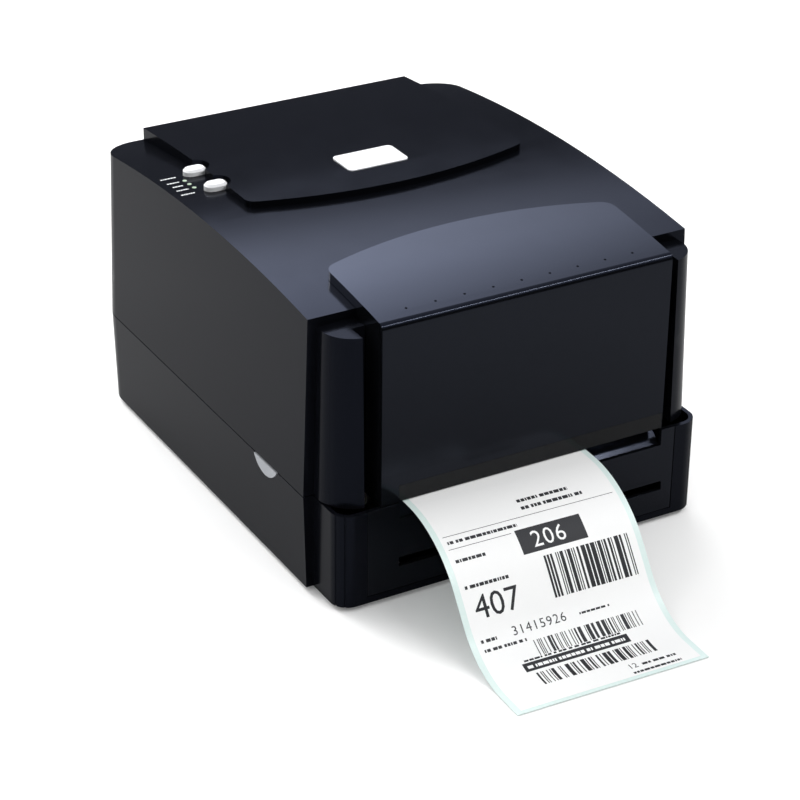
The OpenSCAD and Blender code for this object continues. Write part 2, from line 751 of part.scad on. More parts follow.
disc_r = 30;
disc_t = 3;
hub_l = 8;
hub_r = core_bore / 2 - gap;
module roll_spindle() color("#d8d9db") {
  rod(bay_x0 + gap, bay_x1 - gap, roll_c, spindle_r);
  rod(bay_x0 - journal_l, bay_x1 + journal_l, roll_c, journal_r);
}
module roll_end_discs() color("#3b3e44") for (s = [-1, 1]) {
  inner = s < 0 ? web_x0 - gap : web_x1 + gap;
  difference() {
    union() {
      rod(min(inner, inner + s * disc_t), max(inner, inner + s * disc_t), roll_c, disc_r);
      rod(min(inner - s * hub_l, inner + s * fit), max(inner - s * hub_l, inner + s * fit),
          roll_c, hub_r);
    }
    rod(bay_x0, bay_x1, roll_c, spindle_r + fit);
    for (a = [0:60:300])
      rod(bay_x0, bay_x1, roll_c + disc_hole_at * [cos(a), sin(a)], disc_hole_r);
  }
}
disc_hole_at = 21;
disc_hole_r = 5;
module label_core() color("#b08c5e") difference() {
  rod(web_x0, web_x1, roll_c, core_d / 2);
  rod(web_x0 - cut, web_x1 + cut, roll_c, core_bore / 2);
}
module label_roll() color("#f4f4f0") difference() {
  rod(web_x0, web_x1, roll_c, roll_d / 2);
  rod(web_x0 - cut, web_x1 + cut, roll_c, core_d / 2 + fit);
}

// Label web: line of its middle, seen along X
bar_r = 5;
bar_in = 128.5;
bar_y = front_y + bar_in;
bar_c = [bar_y, web_z + bar_r + gap + web_t / 2];
wrap_r = bar_r + gap + web_t / 2;
off_r = roll_d / 2 + gap + web_t / 2;
bar_to_roll = roll_c - bar_c;
rise_angle = atan2(bar_to_roll[1], bar_to_roll[0]) + asin((wrap_r + off_r) / norm(bar_to_roll));
// Both sides of a line of points, half a thickness away, as one outline
function side_way(p, i) = let (a = p[max(0, i - 1)], b = p[min(len(p) - 1, i + 1)], d = b - a)
  [-d[1], d[0]] / norm(d);
function outline(p, t) = concat(
  [for (i = [0:len(p) - 1]) p[i] + side_way(p, i) * t / 2],
  [for (i = [len(p) - 1:-1:0]) p[i] - side_way(p, i) * t / 2]);
bend_y = front_y - web_out;
bend_end = [bend_y - bend_top_r * sin(web_drop), web_z - bend_top_r * (1 - cos(web_drop))];
low_start = bend_end - straight_l * [cos(web_drop), sin(web_drop)];
low_c = low_start + bend_low_r * [-sin(web_drop), cos(web_drop)];
web_line = concat([[low_c[0] - web_tail, web_rest]],
                  turn(low_c, bend_low_r, -90, web_drop - 90),
                  turn([bend_y, web_z - bend_top_r], bend_top_r, 90 + web_drop, 90),
                  turn(bar_c, wrap_r, -90, rise_angle - 90),
                  [roll_c - off_r * [sin(rise_angle), -cos(rise_angle)]]);
module label_web() color("#fbfbf8") along_x(web_x0, web_x1) polygon(outline(web_line, web_t));

// Print chassis of folded sheet in the base
chassis_drop = 0.5;
chassis_top = part_z - chassis_drop;
bar_top_rise = 12.5;
bar_top = part_z + bar_top_rise;
bar_front_in = 8;
bar_front = bar_y - bar_front_in;
deck_drop = 13.5;
deck_z = part_z - deck_drop;
deck_in = 38;
deck_y0 = bar_y - deck_in;
beam_in = 16.2;
beam_y = platen_c[0] - beam_in;
beam_drop = 21.5;
beam_z = part_z - beam_drop;
beam_h = 18;
beam_top = beam_z + beam_h;
tab_w = 12;
bush_r = 5;
motor_w = 42;
motor_l = 22;
motor_boss_r = 11;
shaft_r = 3;
module chassis_plate(x0) difference() {
  union() {
    along_x(x0, x0 + plate_t) polygon([
      [chassis_y0, flange_z], [chassis_y1, flange_z], [chassis_y1, bar_top], [bar_front, bar_top],
      [bar_front, chassis_top], [chassis_y0, chassis_top]]);
  }
  rod(x0 - cut, x0 + plate_t + cut, platen_c, bush_r + fit);
  rod(x0 - cut, x0 + plate_t + cut, bar_c, bar_end_r + fit);
}
bar_end_r = 3;
module print_chassis() color("#a9adb2") difference() {
  union() {
    chassis_plate(chassis_x0 - plate_t);
    difference() {
      chassis_plate(chassis_x1);
      rod(chassis_x1 - cut, chassis_x1 + plate_t + cut, motor_c, motor_boss_r + gap);
      rod(chassis_x1 - cut, chassis_x1 + plate_t + cut, idler_c, stud_r + fit);
    }
    slab(chassis_x0 - fit, chassis_x1 + fit, deck_y0, chassis_y1 - tab_w / 2, deck_z, deck_z + plate_t);
    slab(chassis_x0 - fit, chassis_x1 + fit, beam_y, beam_y + plate_t, beam_z, beam_top);
    for (p = chassis_feet) {
      s = p[0] < label_x ? -1 : 1;
      e = s < 0 ? chassis_x0 : chassis_x1;
      slab(min(e + s * fit, e - s * tab_w), max(e + s * fit, e - s * tab_w),
           p[1] - tab_w / 2, p[1] + tab_w / 2, flange_z, flange_z + plate_t);
    }
  }
  for (p = chassis_feet) post(p[0], p[1], flange_z - cut, flange_z + plate_t + cut, screw_r + gap);
  post(guide_c[0], guide_c[1], deck_z - cut, deck_z + plate_t + cut, stud_r / 2 + fit);
}
stud_r = 2.5;

module web_guide_bar() color("#c8cacd") {
  rod(chassis_x0 + gap, chassis_x1 - gap, bar_c, bar_r);
  rod(chassis_x0 - plate_t, chassis_x1 + plate_t, bar_c, bar_end_r);
}

// Media guides with racks on both sides of a pinion with an upright axis
guide_mod = 1;
guide_n = 16;
guide_in = 15;
guide_c = [label_x, bar_y - guide_in];
guide_l = 14;
guide_t = 2;
guide_z0 = deck_z + plate_t + gap;
guide_rack_t = 2.6;
guide_rise = 8.5;
guide_top = part_z + guide_rise;
rack_w = 3;
module rack_2d(l, shift) {
  p = PI * guide_mod;
  n = floor(l / p);
  a = addendum_share * guide_mod;
  d = dedendum_share * guide_mod;
  rect_2d(0, l, d, d + rack_w);
  for (i = [0:n - 1]) translate([(i + shift) * p, 0]) polygon([
    [-root_share * p, d + fit], [-pitch_share * p, 0], [-tip_share * p / 2, -a],
    [tip_share * p / 2, -a], [pitch_share * p, 0], [root_share * p, d + fit]]);
}
rack_pitch = PI * guide_mod;
rack_n = 15;
rack_l = rack_n * rack_pitch;
rack_shift = 1;
rack_back = 3 * rack_shift * rack_pitch;
// One guide to the right of the pinion, its rack behind the pinion
module media_guide() {
  x0 = label_w / 2 + gap;
  translate([guide_c[0], guide_c[1], guide_z0]) {
    translate([-rack_back, guide_mod * guide_n / 2, 0])
      linear_extrude(guide_rack_t) rack_2d(rack_l, rack_shift);
    slab(rack_l - rack_back - cut, x0 + guide_t, -guide_l / 2,
         guide_mod * guide_n / 2 + dedendum_share * guide_mod + rack_w, 0, guide_rack_t);
    slab(x0, x0 + guide_t, -guide_l / 2, guide_l / 2, 0, guide_top - guide_z0);
  }
}
module media_guide_right() color("#5a6068") media_guide();
module media_guide_left() color("#5a6068") translate([guide_c[0], guide_c[1], 0]) rotate(180)
  translate([-guide_c[0], -guide_c[1], 0]) media_guide();
module guide_pinion() color("#7c828a") translate([guide_c[0], guide_c[1], 0]) {
  along_z(guide_z0, guide_z0 + guide_rack_t) gear_2d(guide_n, guide_mod, guide_tooth);
  post(0, 0, deck_z - gap, guide_z0 + fit, stud_r / 2);
}
guide_tooth = 90 + 180 / guide_n;

sensor_x = -50;
sensor_l = 12;
sensor_w = 5;
sensor_in = 3;
module gap_sensor() color("#222428") {
  y = deck_y0 + sensor_in;
  slab(sensor_x, sensor_x + sensor_l, y, y + sensor_w, deck_z + plate_t, chassis_top - gap);
  slab(sensor_x - sensor_in, sensor_x + sensor_l + sensor_in, y, y + sensor_w, deck_z + plate_t,
       deck_z + plate_t + guide_t);
}

module tear_bar() color("#c4c7ca") {
  y1 = beam_y - gap;
  z1 = web_z - web_t / 2 - gap;
  along_x(web_x0 - wall, web_x1 + wall) polygon([
    [y1, beam_z + boss_r], [y1, z1 - plate_t], [y1 - plate_t / 2, z1], [y1 - plate_t, z1],
    [y1 - plate_t, beam_z + boss_r]]);
}

// Platen, gears and motor
rubber_room = 3.5;
module platen_roller() color("#34363a") difference() {
  rod(chassis_x0 + rubber_room, chassis_x1 - rubber_room, platen_c, platen_d / 2);
  rod(chassis_x0, chassis_x1, platen_c, shaft_r + fit);
}
shaft_out = 3.5;
shaft_start = chassis_x0 - plate_t - shaft_out;
module platen_shaft() color("#c8cacd")
  rod(shaft_start, gear_x + gear_t + fit * 4, platen_c, shaft_r);
module bush(x0, s) difference() {
  x1 = x0 + s * plate_t;
  union() {
    rod(min(x0, x0 + s * plate_t), max(x0, x0 + s * plate_t), platen_c, bush_r);
    rod(min(x1, x1 + s * bush_rim), max(x1, x1 + s * bush_rim), platen_c, bush_r + bush_rim);
  }
  rod(x0 - plate_t * 2, x0 + plate_t * 2, platen_c, shaft_r + fit);
}
bush_rim = 1.2;
module platen_bushes() color("#d9d2b8") {
  bush(chassis_x0, -1);
  bush(chassis_x1, 1);
}
module platen_gear() color("#e4e2da") difference() {
  spur(gear_x, gear_x + gear_t, platen_c, platen_n, platen_tooth);
  rod(gear_x - cut, gear_x + gear_t + cut, platen_c, shaft_r + fit);
}
module idler_gear() color("#e4e2da") difference() {
  union() {
    spur(gear_x, big_x + fit, idler_c, idler_small_n, idler_tooth);
    spur(big_x, big_x + big_t, idler_c, idler_big_n, idler_tooth);
  }
  rod(gear_x - cut, big_x + big_t + cut, idler_c, stud_r + fit);
}
module idler_stud() color("#b9bcc0") {
  rod(chassis_x1, big_x + big_t + gap, idler_c, stud_r);
  rod(big_x + big_t + gap, big_x + big_t + gap + cut, idler_c, stud_r + bush_rim);
}
motor_shaft_r = 2.5;
motor_chamfer = 4;
module stepper_motor() color("#55585d") {
  w = motor_w / 2;
  c = motor_chamfer;
  x1 = chassis_x1 - gap;
  along_x(x1 - motor_l, x1) translate(motor_c) polygon([
    [c - w, -w], [w - c, -w], [w, c - w], [w, w - c],
    [w - c, w], [c - w, w], [-w, w - c], [-w, c - w]]);
  rod(x1 - fit, chassis_x1 + plate_t, motor_c, motor_boss_r);
  rod(x1 - fit, big_x + big_t, motor_c, motor_shaft_r);
}
module motor_pinion() color("#c9a860") difference() {
  spur(big_x, big_x + big_t, motor_c, pinion_n, motor_tooth);
  rod(big_x - cut, big_x + big_t + cut, motor_c, motor_shaft_r + fit);
}

// Ribbon frame in the cover
frame_x0 = -77.5;
frame_x1 = 43.5;
frame_t = 2.5;
frame_rise = 0.7;
frame_z0 = part_z + frame_rise;
frame_in = 14.5;
frame_l = 90;
frame_y0 = front_y + frame_in;
frame_y1 = frame_y0 + frame_l;
beam_rise = 42.5;
beam_lo = part_z + beam_rise;
frame_slope = 12;
bridge_in = 12;
bridge_y0 = frame_y0 + bridge_in;
beam_half = 10;
beam_y0 = platen_c[0] - beam_half;
beam_y1 = platen_c[0] + beam_half;
supply_in = 22;
supply_drop = 35;
supply_z = frame_top - supply_drop;
supply_c = [frame_y1 - supply_in, supply_z];
ribbon_journal_r = 4;
ribbon_bore_r = 6.3;
ribbon_spindle_r = 6;
ribbon_x0 = -69;
ribbon_x1 = 35;
film_r = 1.7;
film_t = 0.2;
film_z = web_z + web_t / 2 + gap + film_t / 2;
film_wrap = film_r + gap + film_t / 2;
film_front_in = 12.5;
film_back_in = 14.5;
film_front = [platen_c[0] - film_front_in, film_z + film_wrap];
film_back = [platen_c[0] + film_back_in, film_z + film_wrap];
head_front_in = 7;
head_back_in = 9;
head_y0 = platen_c[0] - head_front_in;
head_y1 = platen_c[0] + head_back_in;
head_z0 = film_z + film_t / 2 + gap;
head_block_h = 7.4;
head_travel = 1.5;
head_tab_rise = 18.5;
head_tab_z = part_z + head_tab_rise;
head_tab_h = 3;
head_tab_w = 4;
module frame_plate(x0) difference() {
  along_x(x0, x0 + frame_t) polygon([
    [frame_y0, frame_z0], [beam_y1, frame_z0], [frame_y1, beam_lo], [frame_y1, frame_top],
    [bridge_y0, frame_top], [frame_y0, frame_top - frame_slope]]);
  for (c = [supply_c, rewind_c]) rod(x0 - cut, x0 + frame_t + cut, c, ribbon_journal_r + fit);
  slab(x0 - cut, x0 + frame_t + cut, platen_c[0] - head_tab_w / 2 - fit,
       platen_c[0] + head_tab_w / 2 + fit, head_tab_z - gap, head_tab_z + head_tab_h + head_travel + gap);
}
module ribbon_frame() color("#3b3f45") difference() {
  union() {
    frame_plate(frame_x0 - frame_t);
    frame_plate(frame_x1);
    slab(frame_x0 - fit, frame_x1 + fit, bridge_y0, frame_y1, frame_top - frame_t, frame_top);
    slab(frame_x0 - fit, frame_x1 + fit, beam_y0, beam_y1, beam_lo, beam_lo + frame_t);
    rod(frame_x0 - fit, frame_x1 + fit, film_front, film_r);
    rod(frame_x0 - fit, frame_x1 + fit, film_back, film_r);
    for (c = [lower_c, upper_c]) rod(frame_x1 + frame_t - fit, gear_x + gear_t + gap, c, stud_r);
  }
  for (p = frame_bosses) post(p[0], p[1], frame_top - frame_t - cut, frame_top + cut, screw_r + gap);
}
module frame_screws() color("#b9bcc0") for (p = frame_bosses) mirror_at(frame_top - frame_t - fit)
  screw_down(p, 0, screw_l);
module mirror_at(z) translate([0, 0, z]) mirror([0, 0, 1]) children();

module print_head() color("#c9b48a") {
  slab(ribbon_x0, ribbon_x1, head_y0, head_y1, head_z0 + head_lip, head_z0 + head_block_h);
  along_x(ribbon_x0, ribbon_x1) polygon([
    [head_y0, head_z0 + head_lip + fit], [head_y0, head_z0 + head_lip],
    [platen_c[0] - head_lip, head_z0], [platen_c[0] + head_lip, head_z0],
    [head_y1, head_z0 + head_lip], [head_y1, head_z0 + head_lip + fit]]);
}
head_lip = 2;
fin_n = 7;
fin_t = 1.4;
sink_base = 6;
sink_rise = 30.5;
sink_z1 = part_z + sink_rise;
cup_r = 6;
cup_h = 4.2;
module head_heat_sink() color("#9aa0a6") {
  z0 = head_z0 + head_block_h;
  slab(ribbon_x0, ribbon_x1, head_y0, head_y1, z0, z0 + sink_base);
  for (i = [0:fin_n - 1])
    let (y = head_y0 + (head_y1 - head_y0 - fin_t) * i / (fin_n - 1))
      slab(ribbon_x0, ribbon_x1, y, y + fin_t, z0 + sink_base - fit, sink_z1 - fin_t);
  slab(frame_x0 - frame_t / 2, frame_x1 + frame_t / 2, platen_c[0] - head_tab_w / 2,
       platen_c[0] + head_tab_w / 2, head_tab_z, head_tab_z + head_tab_h);
  for (x = spring_xs) post(x, platen_c[0], sink_z1 - cup_h, sink_z1, cup_r);
}
spring_xs = [-52, 18];
spring_r = 3.6;
spring_wire = 0.6;
spring_turns = 5;
spring_slices = 60;
wire_sides = 6;
module head_springs() color("#c4c7ca")
  for (x = spring_xs) translate([x, platen_c[0], sink_z1 + fit])
    linear_extrude($fn = wire_sides, height = beam_lo - sink_z1 - 2 * fit,
                   twist = -360 * spring_turns, slices = spring_slices)
      translate([spring_r, 0]) circle(r = spring_wire, $fn = wire_sides);

module transfer_gear(c, t) difference() {
  spur(gear_x, gear_x + gear_t, c, transfer_n, t);
  rod(gear_x - cut, gear_x + gear_t + cut, c, stud_r + fit);
}
module transfer_gear_lower() color("#e4e2da") transfer_gear(lower_c, lower_tooth);
module transfer_gear_upper() color("#e4e2da") transfer_gear(upper_c, upper_tooth);
module rewind_gear() color("#e4e2da") difference() {
  spur(gear_x, gear_x + gear_t, rewind_c, rewind_n, rewind_tooth);
  rod(gear_x - cut, gear_x + gear_t + cut, rewind_c, ribbon_journal_r + fit);
}
module ribbon_spindle(c, x1) {
  rod(frame_x0 + gap, frame_x1 - gap, c, ribbon_spindle_r);
  rod(frame_x0 - frame_t - cut, x1, c, ribbon_journal_r);
  for (a = [0:90:270]) translate([0, c[0], c[1]]) rotate([a, 0, 0])
    slab(ribbon_x0, ribbon_x1, -fin_t / 2, fin_t / 2, spindle_in, ribbon_spindle_r + gap / 2);
}
spindle_in = 4;
module supply_spindle() color("#6b7178") ribbon_spindle(supply_c, frame_x1 + frame_t + cut);
module rewind_spindle() color("#6b7178") ribbon_spindle(rewind_c, gear_x + gear_t + fit * 2);
module ribbon_on(c, r) difference() {
  rod(ribbon_x0, ribbon_x1, c, r);
  rod(ribbon_x0 - cut, ribbon_x1 + cut, c, ribbon_bore_r);
}
supply_r = 21;
rewind_r = 14;
module supply_ribbon() color("#0f0f12") ribbon_on(supply_c, supply_r);
module rewind_ribbon() color("#0f0f12") ribbon_on(rewind_c, rewind_r);

// Film from the supply roll, under the head and up to the rewind roll
supply_off = supply_r + gap + film_t / 2;
rewind_off = rewind_r + gap + film_t / 2;
back_to_supply = supply_c - film_back;
front_to_rewind = rewind_c - film_front;
// Both ends are outer tangents: the film runs on the front of the rewind roll, behind the supply roll
back_angle = atan2(back_to_supply[1], back_to_supply[0])
  - asin((supply_off - film_wrap) / norm(back_to_supply));
front_angle = atan2(front_to_rewind[1], front_to_rewind[0])
  + asin((rewind_off - film_wrap) / norm(front_to_rewind));
film_line = concat(
  [rewind_c + rewind_off * [-sin(front_angle), cos(front_angle)]],
  turn(film_front, film_wrap, front_angle + 90, 270),
  turn(film_back, film_wrap, -90, back_angle - 90),
  [supply_c + supply_off * [sin(back_angle), -cos(back_angle)]]);
module ribbon_film() color("#141417")
  along_x(ribbon_x0, ribbon_x1) polygon(outline(film_line, film_t));

// Boards and sockets at the rear
board_z = 9.5;
board_t = 1.6;
board_edge = 16;
board_x = half_w - board_edge;
board_in = 6.5;
board_l = 36;
board_y1 = rear_y - board_in;
board_y0 = board_y1 - board_l;
board_post_in = 6;
board_posts = [for (x = [board_post_in - board_x, board_x - board_post_in],
                    y = [board_y0 + board_post_in, board_y1 - board_post_in]) [x, y]];
module main_board() color("#2d6b43") {
  z1 = board_z + board_t;
  difference() {
    slab(-board_x, board_x, board_y0, board_y1, board_z, z1);
    for (p = board_posts) post(p[0], p[1], board_z - cut, z1 + cut, screw_r);
  }
  for (x = chip_xs) slab(x, x + chip_w, chip_y, chip_y + chip_w, z1 - fit, z1 + board_t);
  for (x = can_xs) post(x, chip_y, z1 - fit, z1 + can_h, can_r);
}
chip_xs = [-20, 60];
chip_w = 16;
chip_in = 5;
chip_y = board_y0 + chip_in;
can_xs = [-78, -62, 84];
can_h = 5;
can_r = 4;

// Each socket as [x of its middle, width, height]; they stand on the board behind the rear wall
socket_l = 16.9;
socket_in = 1.6;
socket_y1 = rear_y - socket_in;
socket_y0 = socket_y1 - socket_l;
socket_z0 = board_z + board_t + gap;
inlet = [-62, 9, 11];
usb = [-38, 12, 10.8];
serial = [-4, 31, 12.5];
parallel = [52, 62, 14];
pin_w = 1;
module socket_body(s, y1)
  slab(s[0] - s[1] / 2, s[0] + s[1] / 2, socket_y0, y1, socket_z0, socket_z0 + s[2]);
module socket_bore(s, w, h, depth)
  slab(s[0] - w / 2, s[0] + w / 2, socket_y1 - depth, socket_y1 + cut,
       socket_z0 + s[2] / 2 - h / 2, socket_z0 + s[2] / 2 + h / 2);
switch_edge = 28;
switch_rise = 29;
switch_c = [switch_edge - half_w, base_z + switch_rise];
switch_w_outer = 21;
switch_h_outer = 15;
bezel = 1.5;
module socket_holes() {
  for (s = [inlet, usb, serial, parallel])
    slab(s[0] - s[1] / 2 - gap, s[0] + s[1] / 2 + gap, rear_y - wall * 2 - cut, rear_y + cut,
         socket_z0 - gap, socket_z0 + s[2] + gap);
  slab(switch_c[0] - switch_w_outer / 2 - gap, switch_c[0] + switch_w_outer / 2 + gap,
       rear_y - wall * 2 - cut, rear_y + cut, switch_c[1] - switch_h_outer / 2 - gap,
       switch_c[1] + switch_h_outer / 2 + gap);
}
rocker_out = 0.4;
rocker_y = rear_y + rocker_out;
rocker_in = 2.6;
rocker_tilt = 7;
rocker_gap = 0.6;
rocker_axle_r = 1.2;
rocker_axle_in = 5;
rocker_h = switch_h_outer - 2 * rocker_in;
rocker_w = switch_w_outer - 2 * rocker_in;
rocker_c = [rocker_y - rocker_axle_in, switch_c[1]];
module switch_housing() color("#1e1f22") difference() {
  union() {
    slab(switch_c[0] - switch_w_outer / 2, switch_c[0] + switch_w_outer / 2, socket_y0, rear_y + bezel,
         switch_c[1] - switch_h_outer / 2, switch_c[1] + switch_h_outer / 2);
    slab(switch_c[0] - switch_w_outer / 2 - bezel, switch_c[0] + switch_w_outer / 2 + bezel, rear_y + fit,
         rear_y + bezel, switch_c[1] - switch_h_outer / 2 - bezel,
         switch_c[1] + switch_h_outer / 2 + bezel);
  }
  slab(switch_c[0] - rocker_w / 2 - gap, switch_c[0] + rocker_w / 2 + gap, rocker_c[0] - rocker_axle_in,
       rear_y + bezel + cut, switch_c[1] - rocker_h / 2 - rocker_gap,
       switch_c[1] + rocker_h / 2 + rocker_gap);
  rod(switch_c[0] - rocker_w / 2 - rocker_gap * 2, switch_c[0] + rocker_w / 2 + rocker_gap * 2, rocker_c,
      rocker_axle_r + fit);
}
module power_rocker() color("#2a2b2f") translate([0, rocker_c[0], rocker_c[1]])
  rotate([-rocker_tilt, 0, 0]) {
    h = rocker_h / 2;
    along_x(switch_c[0] - rocker_w / 2, switch_c[0] + rocker_w / 2) polygon([
      [-rocker_axle_r, -rocker_axle_r], [rocker_axle_in, -h + rocker_gap],
      [rocker_axle_in + bezel, -h + rocker_gap],
      [rocker_axle_in + bezel / 2, 0], [rocker_axle_in + bezel, h - rocker_gap],
      [rocker_axle_in, h - rocker_gap], [-rocker_axle_r, rocker_axle_r]]);
    rod(switch_c[0] - rocker_w / 2 - rocker_gap, switch_c[0] + rocker_w / 2 + rocker_gap, [0, 0],
        rocker_axle_r);
  }
jack_r = 3.2;
jack_l = 10;
module power_inlet() color("#1a1b1d") {
  difference() {
    socket_body(inlet, socket_y1);
    translate([inlet[0], socket_y1 - jack_l, socket_z0 + inlet[2] / 2]) rotate([-90, 0, 0])
      cylinder(h = jack_l + cut, r = jack_r);
  }
  translate([inlet[0], socket_y1 - jack_l - fit, socket_z0 + inlet[2] / 2]) rotate([-90, 0, 0])
    cylinder(h = jack_l - cut, r = pin_w);
}
usb_in_w = 8.4;
usb_in_h = 7.6;
usb_tongue_h = 3;
usb_tongue_w = 5.6;
module usb_socket() color("#a8acb0") {
  difference() {
    socket_body(usb, socket_y1);
    socket_bore(usb, usb_in_w, usb_in_h, jack_l);
  }
  translate([0, -cut, 0]) difference() {
    socket_bore(usb, usb_tongue_w, usb_tongue_h, jack_l);
    socket_bore(usb, case_w, case_w, -cut / 2);
  }
}
// Shell of a D-shaped socket: trapezium plate with pins in its middle
shell_share = 0.82;
shell_depth = 5;
nut_r = 1.5;
pin_pitch = 2.77;
// Each shell as [width, height, pins]
serial_shell = [17, 8.6, 5];
parallel_shell = [46, 9.4, 14];
module d_shell(s, shell) {
  w = shell[0];
  h = shell[1];
  n = shell[2];
  zc = socket_z0 + s[2] / 2;
  difference() {
    socket_body(s, socket_y1);
    along_y(socket_y1 - shell_depth, socket_y1 + cut) translate([s[0], zc]) polygon([
      [-w / 2, h / 2], [-w * shell_share / 2, -h / 2], [w * shell_share / 2, -h / 2], [w / 2, h / 2]]);
    for (e = [-1, 1])
      translate([s[0] + e * (s[1] / 2 - jack_r), socket_y1 + cut, zc]) rotate([90, 0, 0])
        cylinder(h = shell_depth + cut, r = nut_r);
  }
  for (i = [0:n - 1]) translate([s[0] + (i - (n - 1) / 2) * pin_pitch, socket_y1 - pin_w, zc])
    rotate([90, 0, 0]) cylinder(h = shell_depth - pin_w + fit, r = pin_w / 2);
}
module serial_socket() color("#9ea2a7") d_shell(serial, serial_shell);
module parallel_socket() color("#9ea2a7") d_shell(parallel, parallel_shell);

base_housing();
lower_front_panel();
rubber_feet();
chassis_screws();
top_cover();
front_lid();
tear_window();
badge_plate();
hinge_pins();
latch_hooks();
latch_button_left();
latch_button_right();
pause_button();
feed_button();
status_light_pipes();
panel_board();
media_bay();
roll_spindle();
roll_end_discs();
label_core();
label_roll();
label_web();
print_chassis();
web_guide_bar();
media_guide_left();
media_guide_right();
guide_pinion();
gap_sensor();
tear_bar();
platen_roller();
platen_shaft();
platen_bushes();
platen_gear();
idler_gear();
idler_stud();
stepper_motor();
motor_pinion();
ribbon_frame();
frame_screws();
print_head();
head_heat_sink();
head_springs();
transfer_gear_lower();
transfer_gear_upper();
supply_spindle();
rewind_spindle();
rewind_gear();
supply_ribbon();
rewind_ribbon();
ribbon_film();
main_board();
switch_housing();
power_rocker();
power_inlet();
usb_socket();
serial_socket();
parallel_socket();
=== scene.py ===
from math import atan2, asin, cos, degrees, hypot, pi, radians, sin, sqrt

import bmesh
import bpy
from mathutils import Matrix, Vector


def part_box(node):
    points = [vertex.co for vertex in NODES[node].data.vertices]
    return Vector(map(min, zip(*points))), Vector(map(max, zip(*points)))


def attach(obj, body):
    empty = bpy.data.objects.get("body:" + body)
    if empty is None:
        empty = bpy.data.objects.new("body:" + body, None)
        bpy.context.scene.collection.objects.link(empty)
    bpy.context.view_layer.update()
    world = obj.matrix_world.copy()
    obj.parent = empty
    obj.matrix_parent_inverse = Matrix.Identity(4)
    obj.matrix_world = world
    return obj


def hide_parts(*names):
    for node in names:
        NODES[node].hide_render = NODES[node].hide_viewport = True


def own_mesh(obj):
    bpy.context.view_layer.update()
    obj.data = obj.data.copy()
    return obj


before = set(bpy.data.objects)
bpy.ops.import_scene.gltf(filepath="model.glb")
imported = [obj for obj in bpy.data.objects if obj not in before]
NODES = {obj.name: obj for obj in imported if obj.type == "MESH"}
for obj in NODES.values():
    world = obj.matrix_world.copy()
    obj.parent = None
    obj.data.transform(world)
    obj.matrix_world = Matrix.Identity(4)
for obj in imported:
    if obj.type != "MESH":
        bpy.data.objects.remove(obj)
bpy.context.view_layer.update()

MM = 0.001

# Places of the printer, in millimetres, as the source has them
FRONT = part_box("lower_front_panel")[0].y * 1000 + 0.7
REAR = FRONT + 285.0
PART_Z = 57.5
CROWN_Y, CROWN_Z, CROWN_R = FRONT + 139.5, 164.5, 970.0
LID_RISE = 5.5


def crown(y):
    """Height of the cover's crown at depth y."""
    return CROWN_Z - CROWN_R + sqrt(CROWN_R ** 2 - (y - CROWN_Y) ** 2)


# ---------------------------------------------------------------- camera
# Fitted to the edges of the printer in the photograph
def photo_camera():
    yaw, pitch, roll = radians(29.856), radians(28.489), radians(0.659)
    fwd = Vector((sin(yaw) * cos(pitch), cos(yaw) * cos(pitch), -sin(pitch)))
    right = Vector((cos(yaw), -sin(yaw), 0))
    up = right.cross(fwd)
    r = right * cos(roll) + up * sin(roll)
    u = up * cos(roll) - right * sin(roll)
    cam = bpy.data.objects.new("photo_camera", bpy.data.cameras.new("photo_camera"))
    bpy.context.scene.collection.objects.link(cam)
    cam.data.sensor_width = 36.0
    cam.data.lens = 116.87
    cam.data.clip_start, cam.data.clip_end = 0.05, 60.0
    turn = Matrix((r, u, -fwd)).transposed().to_4x4()
    shift_y = (FRONT + 142.5) * MM
    cam.matrix_world = Matrix.Translation((-0.63996, -1.12564 + shift_y, 0.73196)) @ turn
    bpy.context.scene.camera = cam


photo_camera()


# ---------------------------------------------------------------- materials
def colour(code):
    """Linear colour of an sRGB hex value."""
    parts = [int(code[i:i + 2], 16) / 255 for i in (1, 3, 5)]
    return tuple(c / 12.92 if c <= 0.04045 else ((c + 0.055) / 1.055) ** 2.4 for c in parts) + (1.0,)


def add(tree, kind, settings=None, **links):
    """Adds a node: settings are its attributes, links its inputs as values or other nodes' outputs."""
    made = tree.nodes.new(kind)
    for name, value in (settings or {}).items():
        setattr(made, name, value)
    for name, value in links.items():
        key = int(name[1:]) if name[0] == "_" and name[1:].isdigit() else name.replace("_", " ")
        socket = made.inputs[key]
        if isinstance(value, bpy.types.NodeSocket):
            tree.links.new(value, socket)
        else:
            socket.default_value = value
    return made


def material(name, base, rough, **fixed):
    """A Principled material; returns it with its tree, shader and object coordinates."""
    mat = bpy.data.materials.new(name)
    mat.use_nodes = True
    tree = mat.node_tree
    tree.nodes.clear()
    out = add(tree, "ShaderNodeOutputMaterial")
    shader = add(tree, "ShaderNodeBsdfPrincipled")
    tree.links.new(shader.outputs["BSDF"], out.inputs["Surface"])
    shader.inputs["Base Color"].default_value = colour(base)
    shader.inputs["Roughness"].default_value = rough
    for key, value in fixed.items():
        shader.inputs[key.replace("_", " ")].default_value = value
    where = add(tree, "ShaderNodeTexCoord").outputs["Object"]
    return mat, tree, shader, where


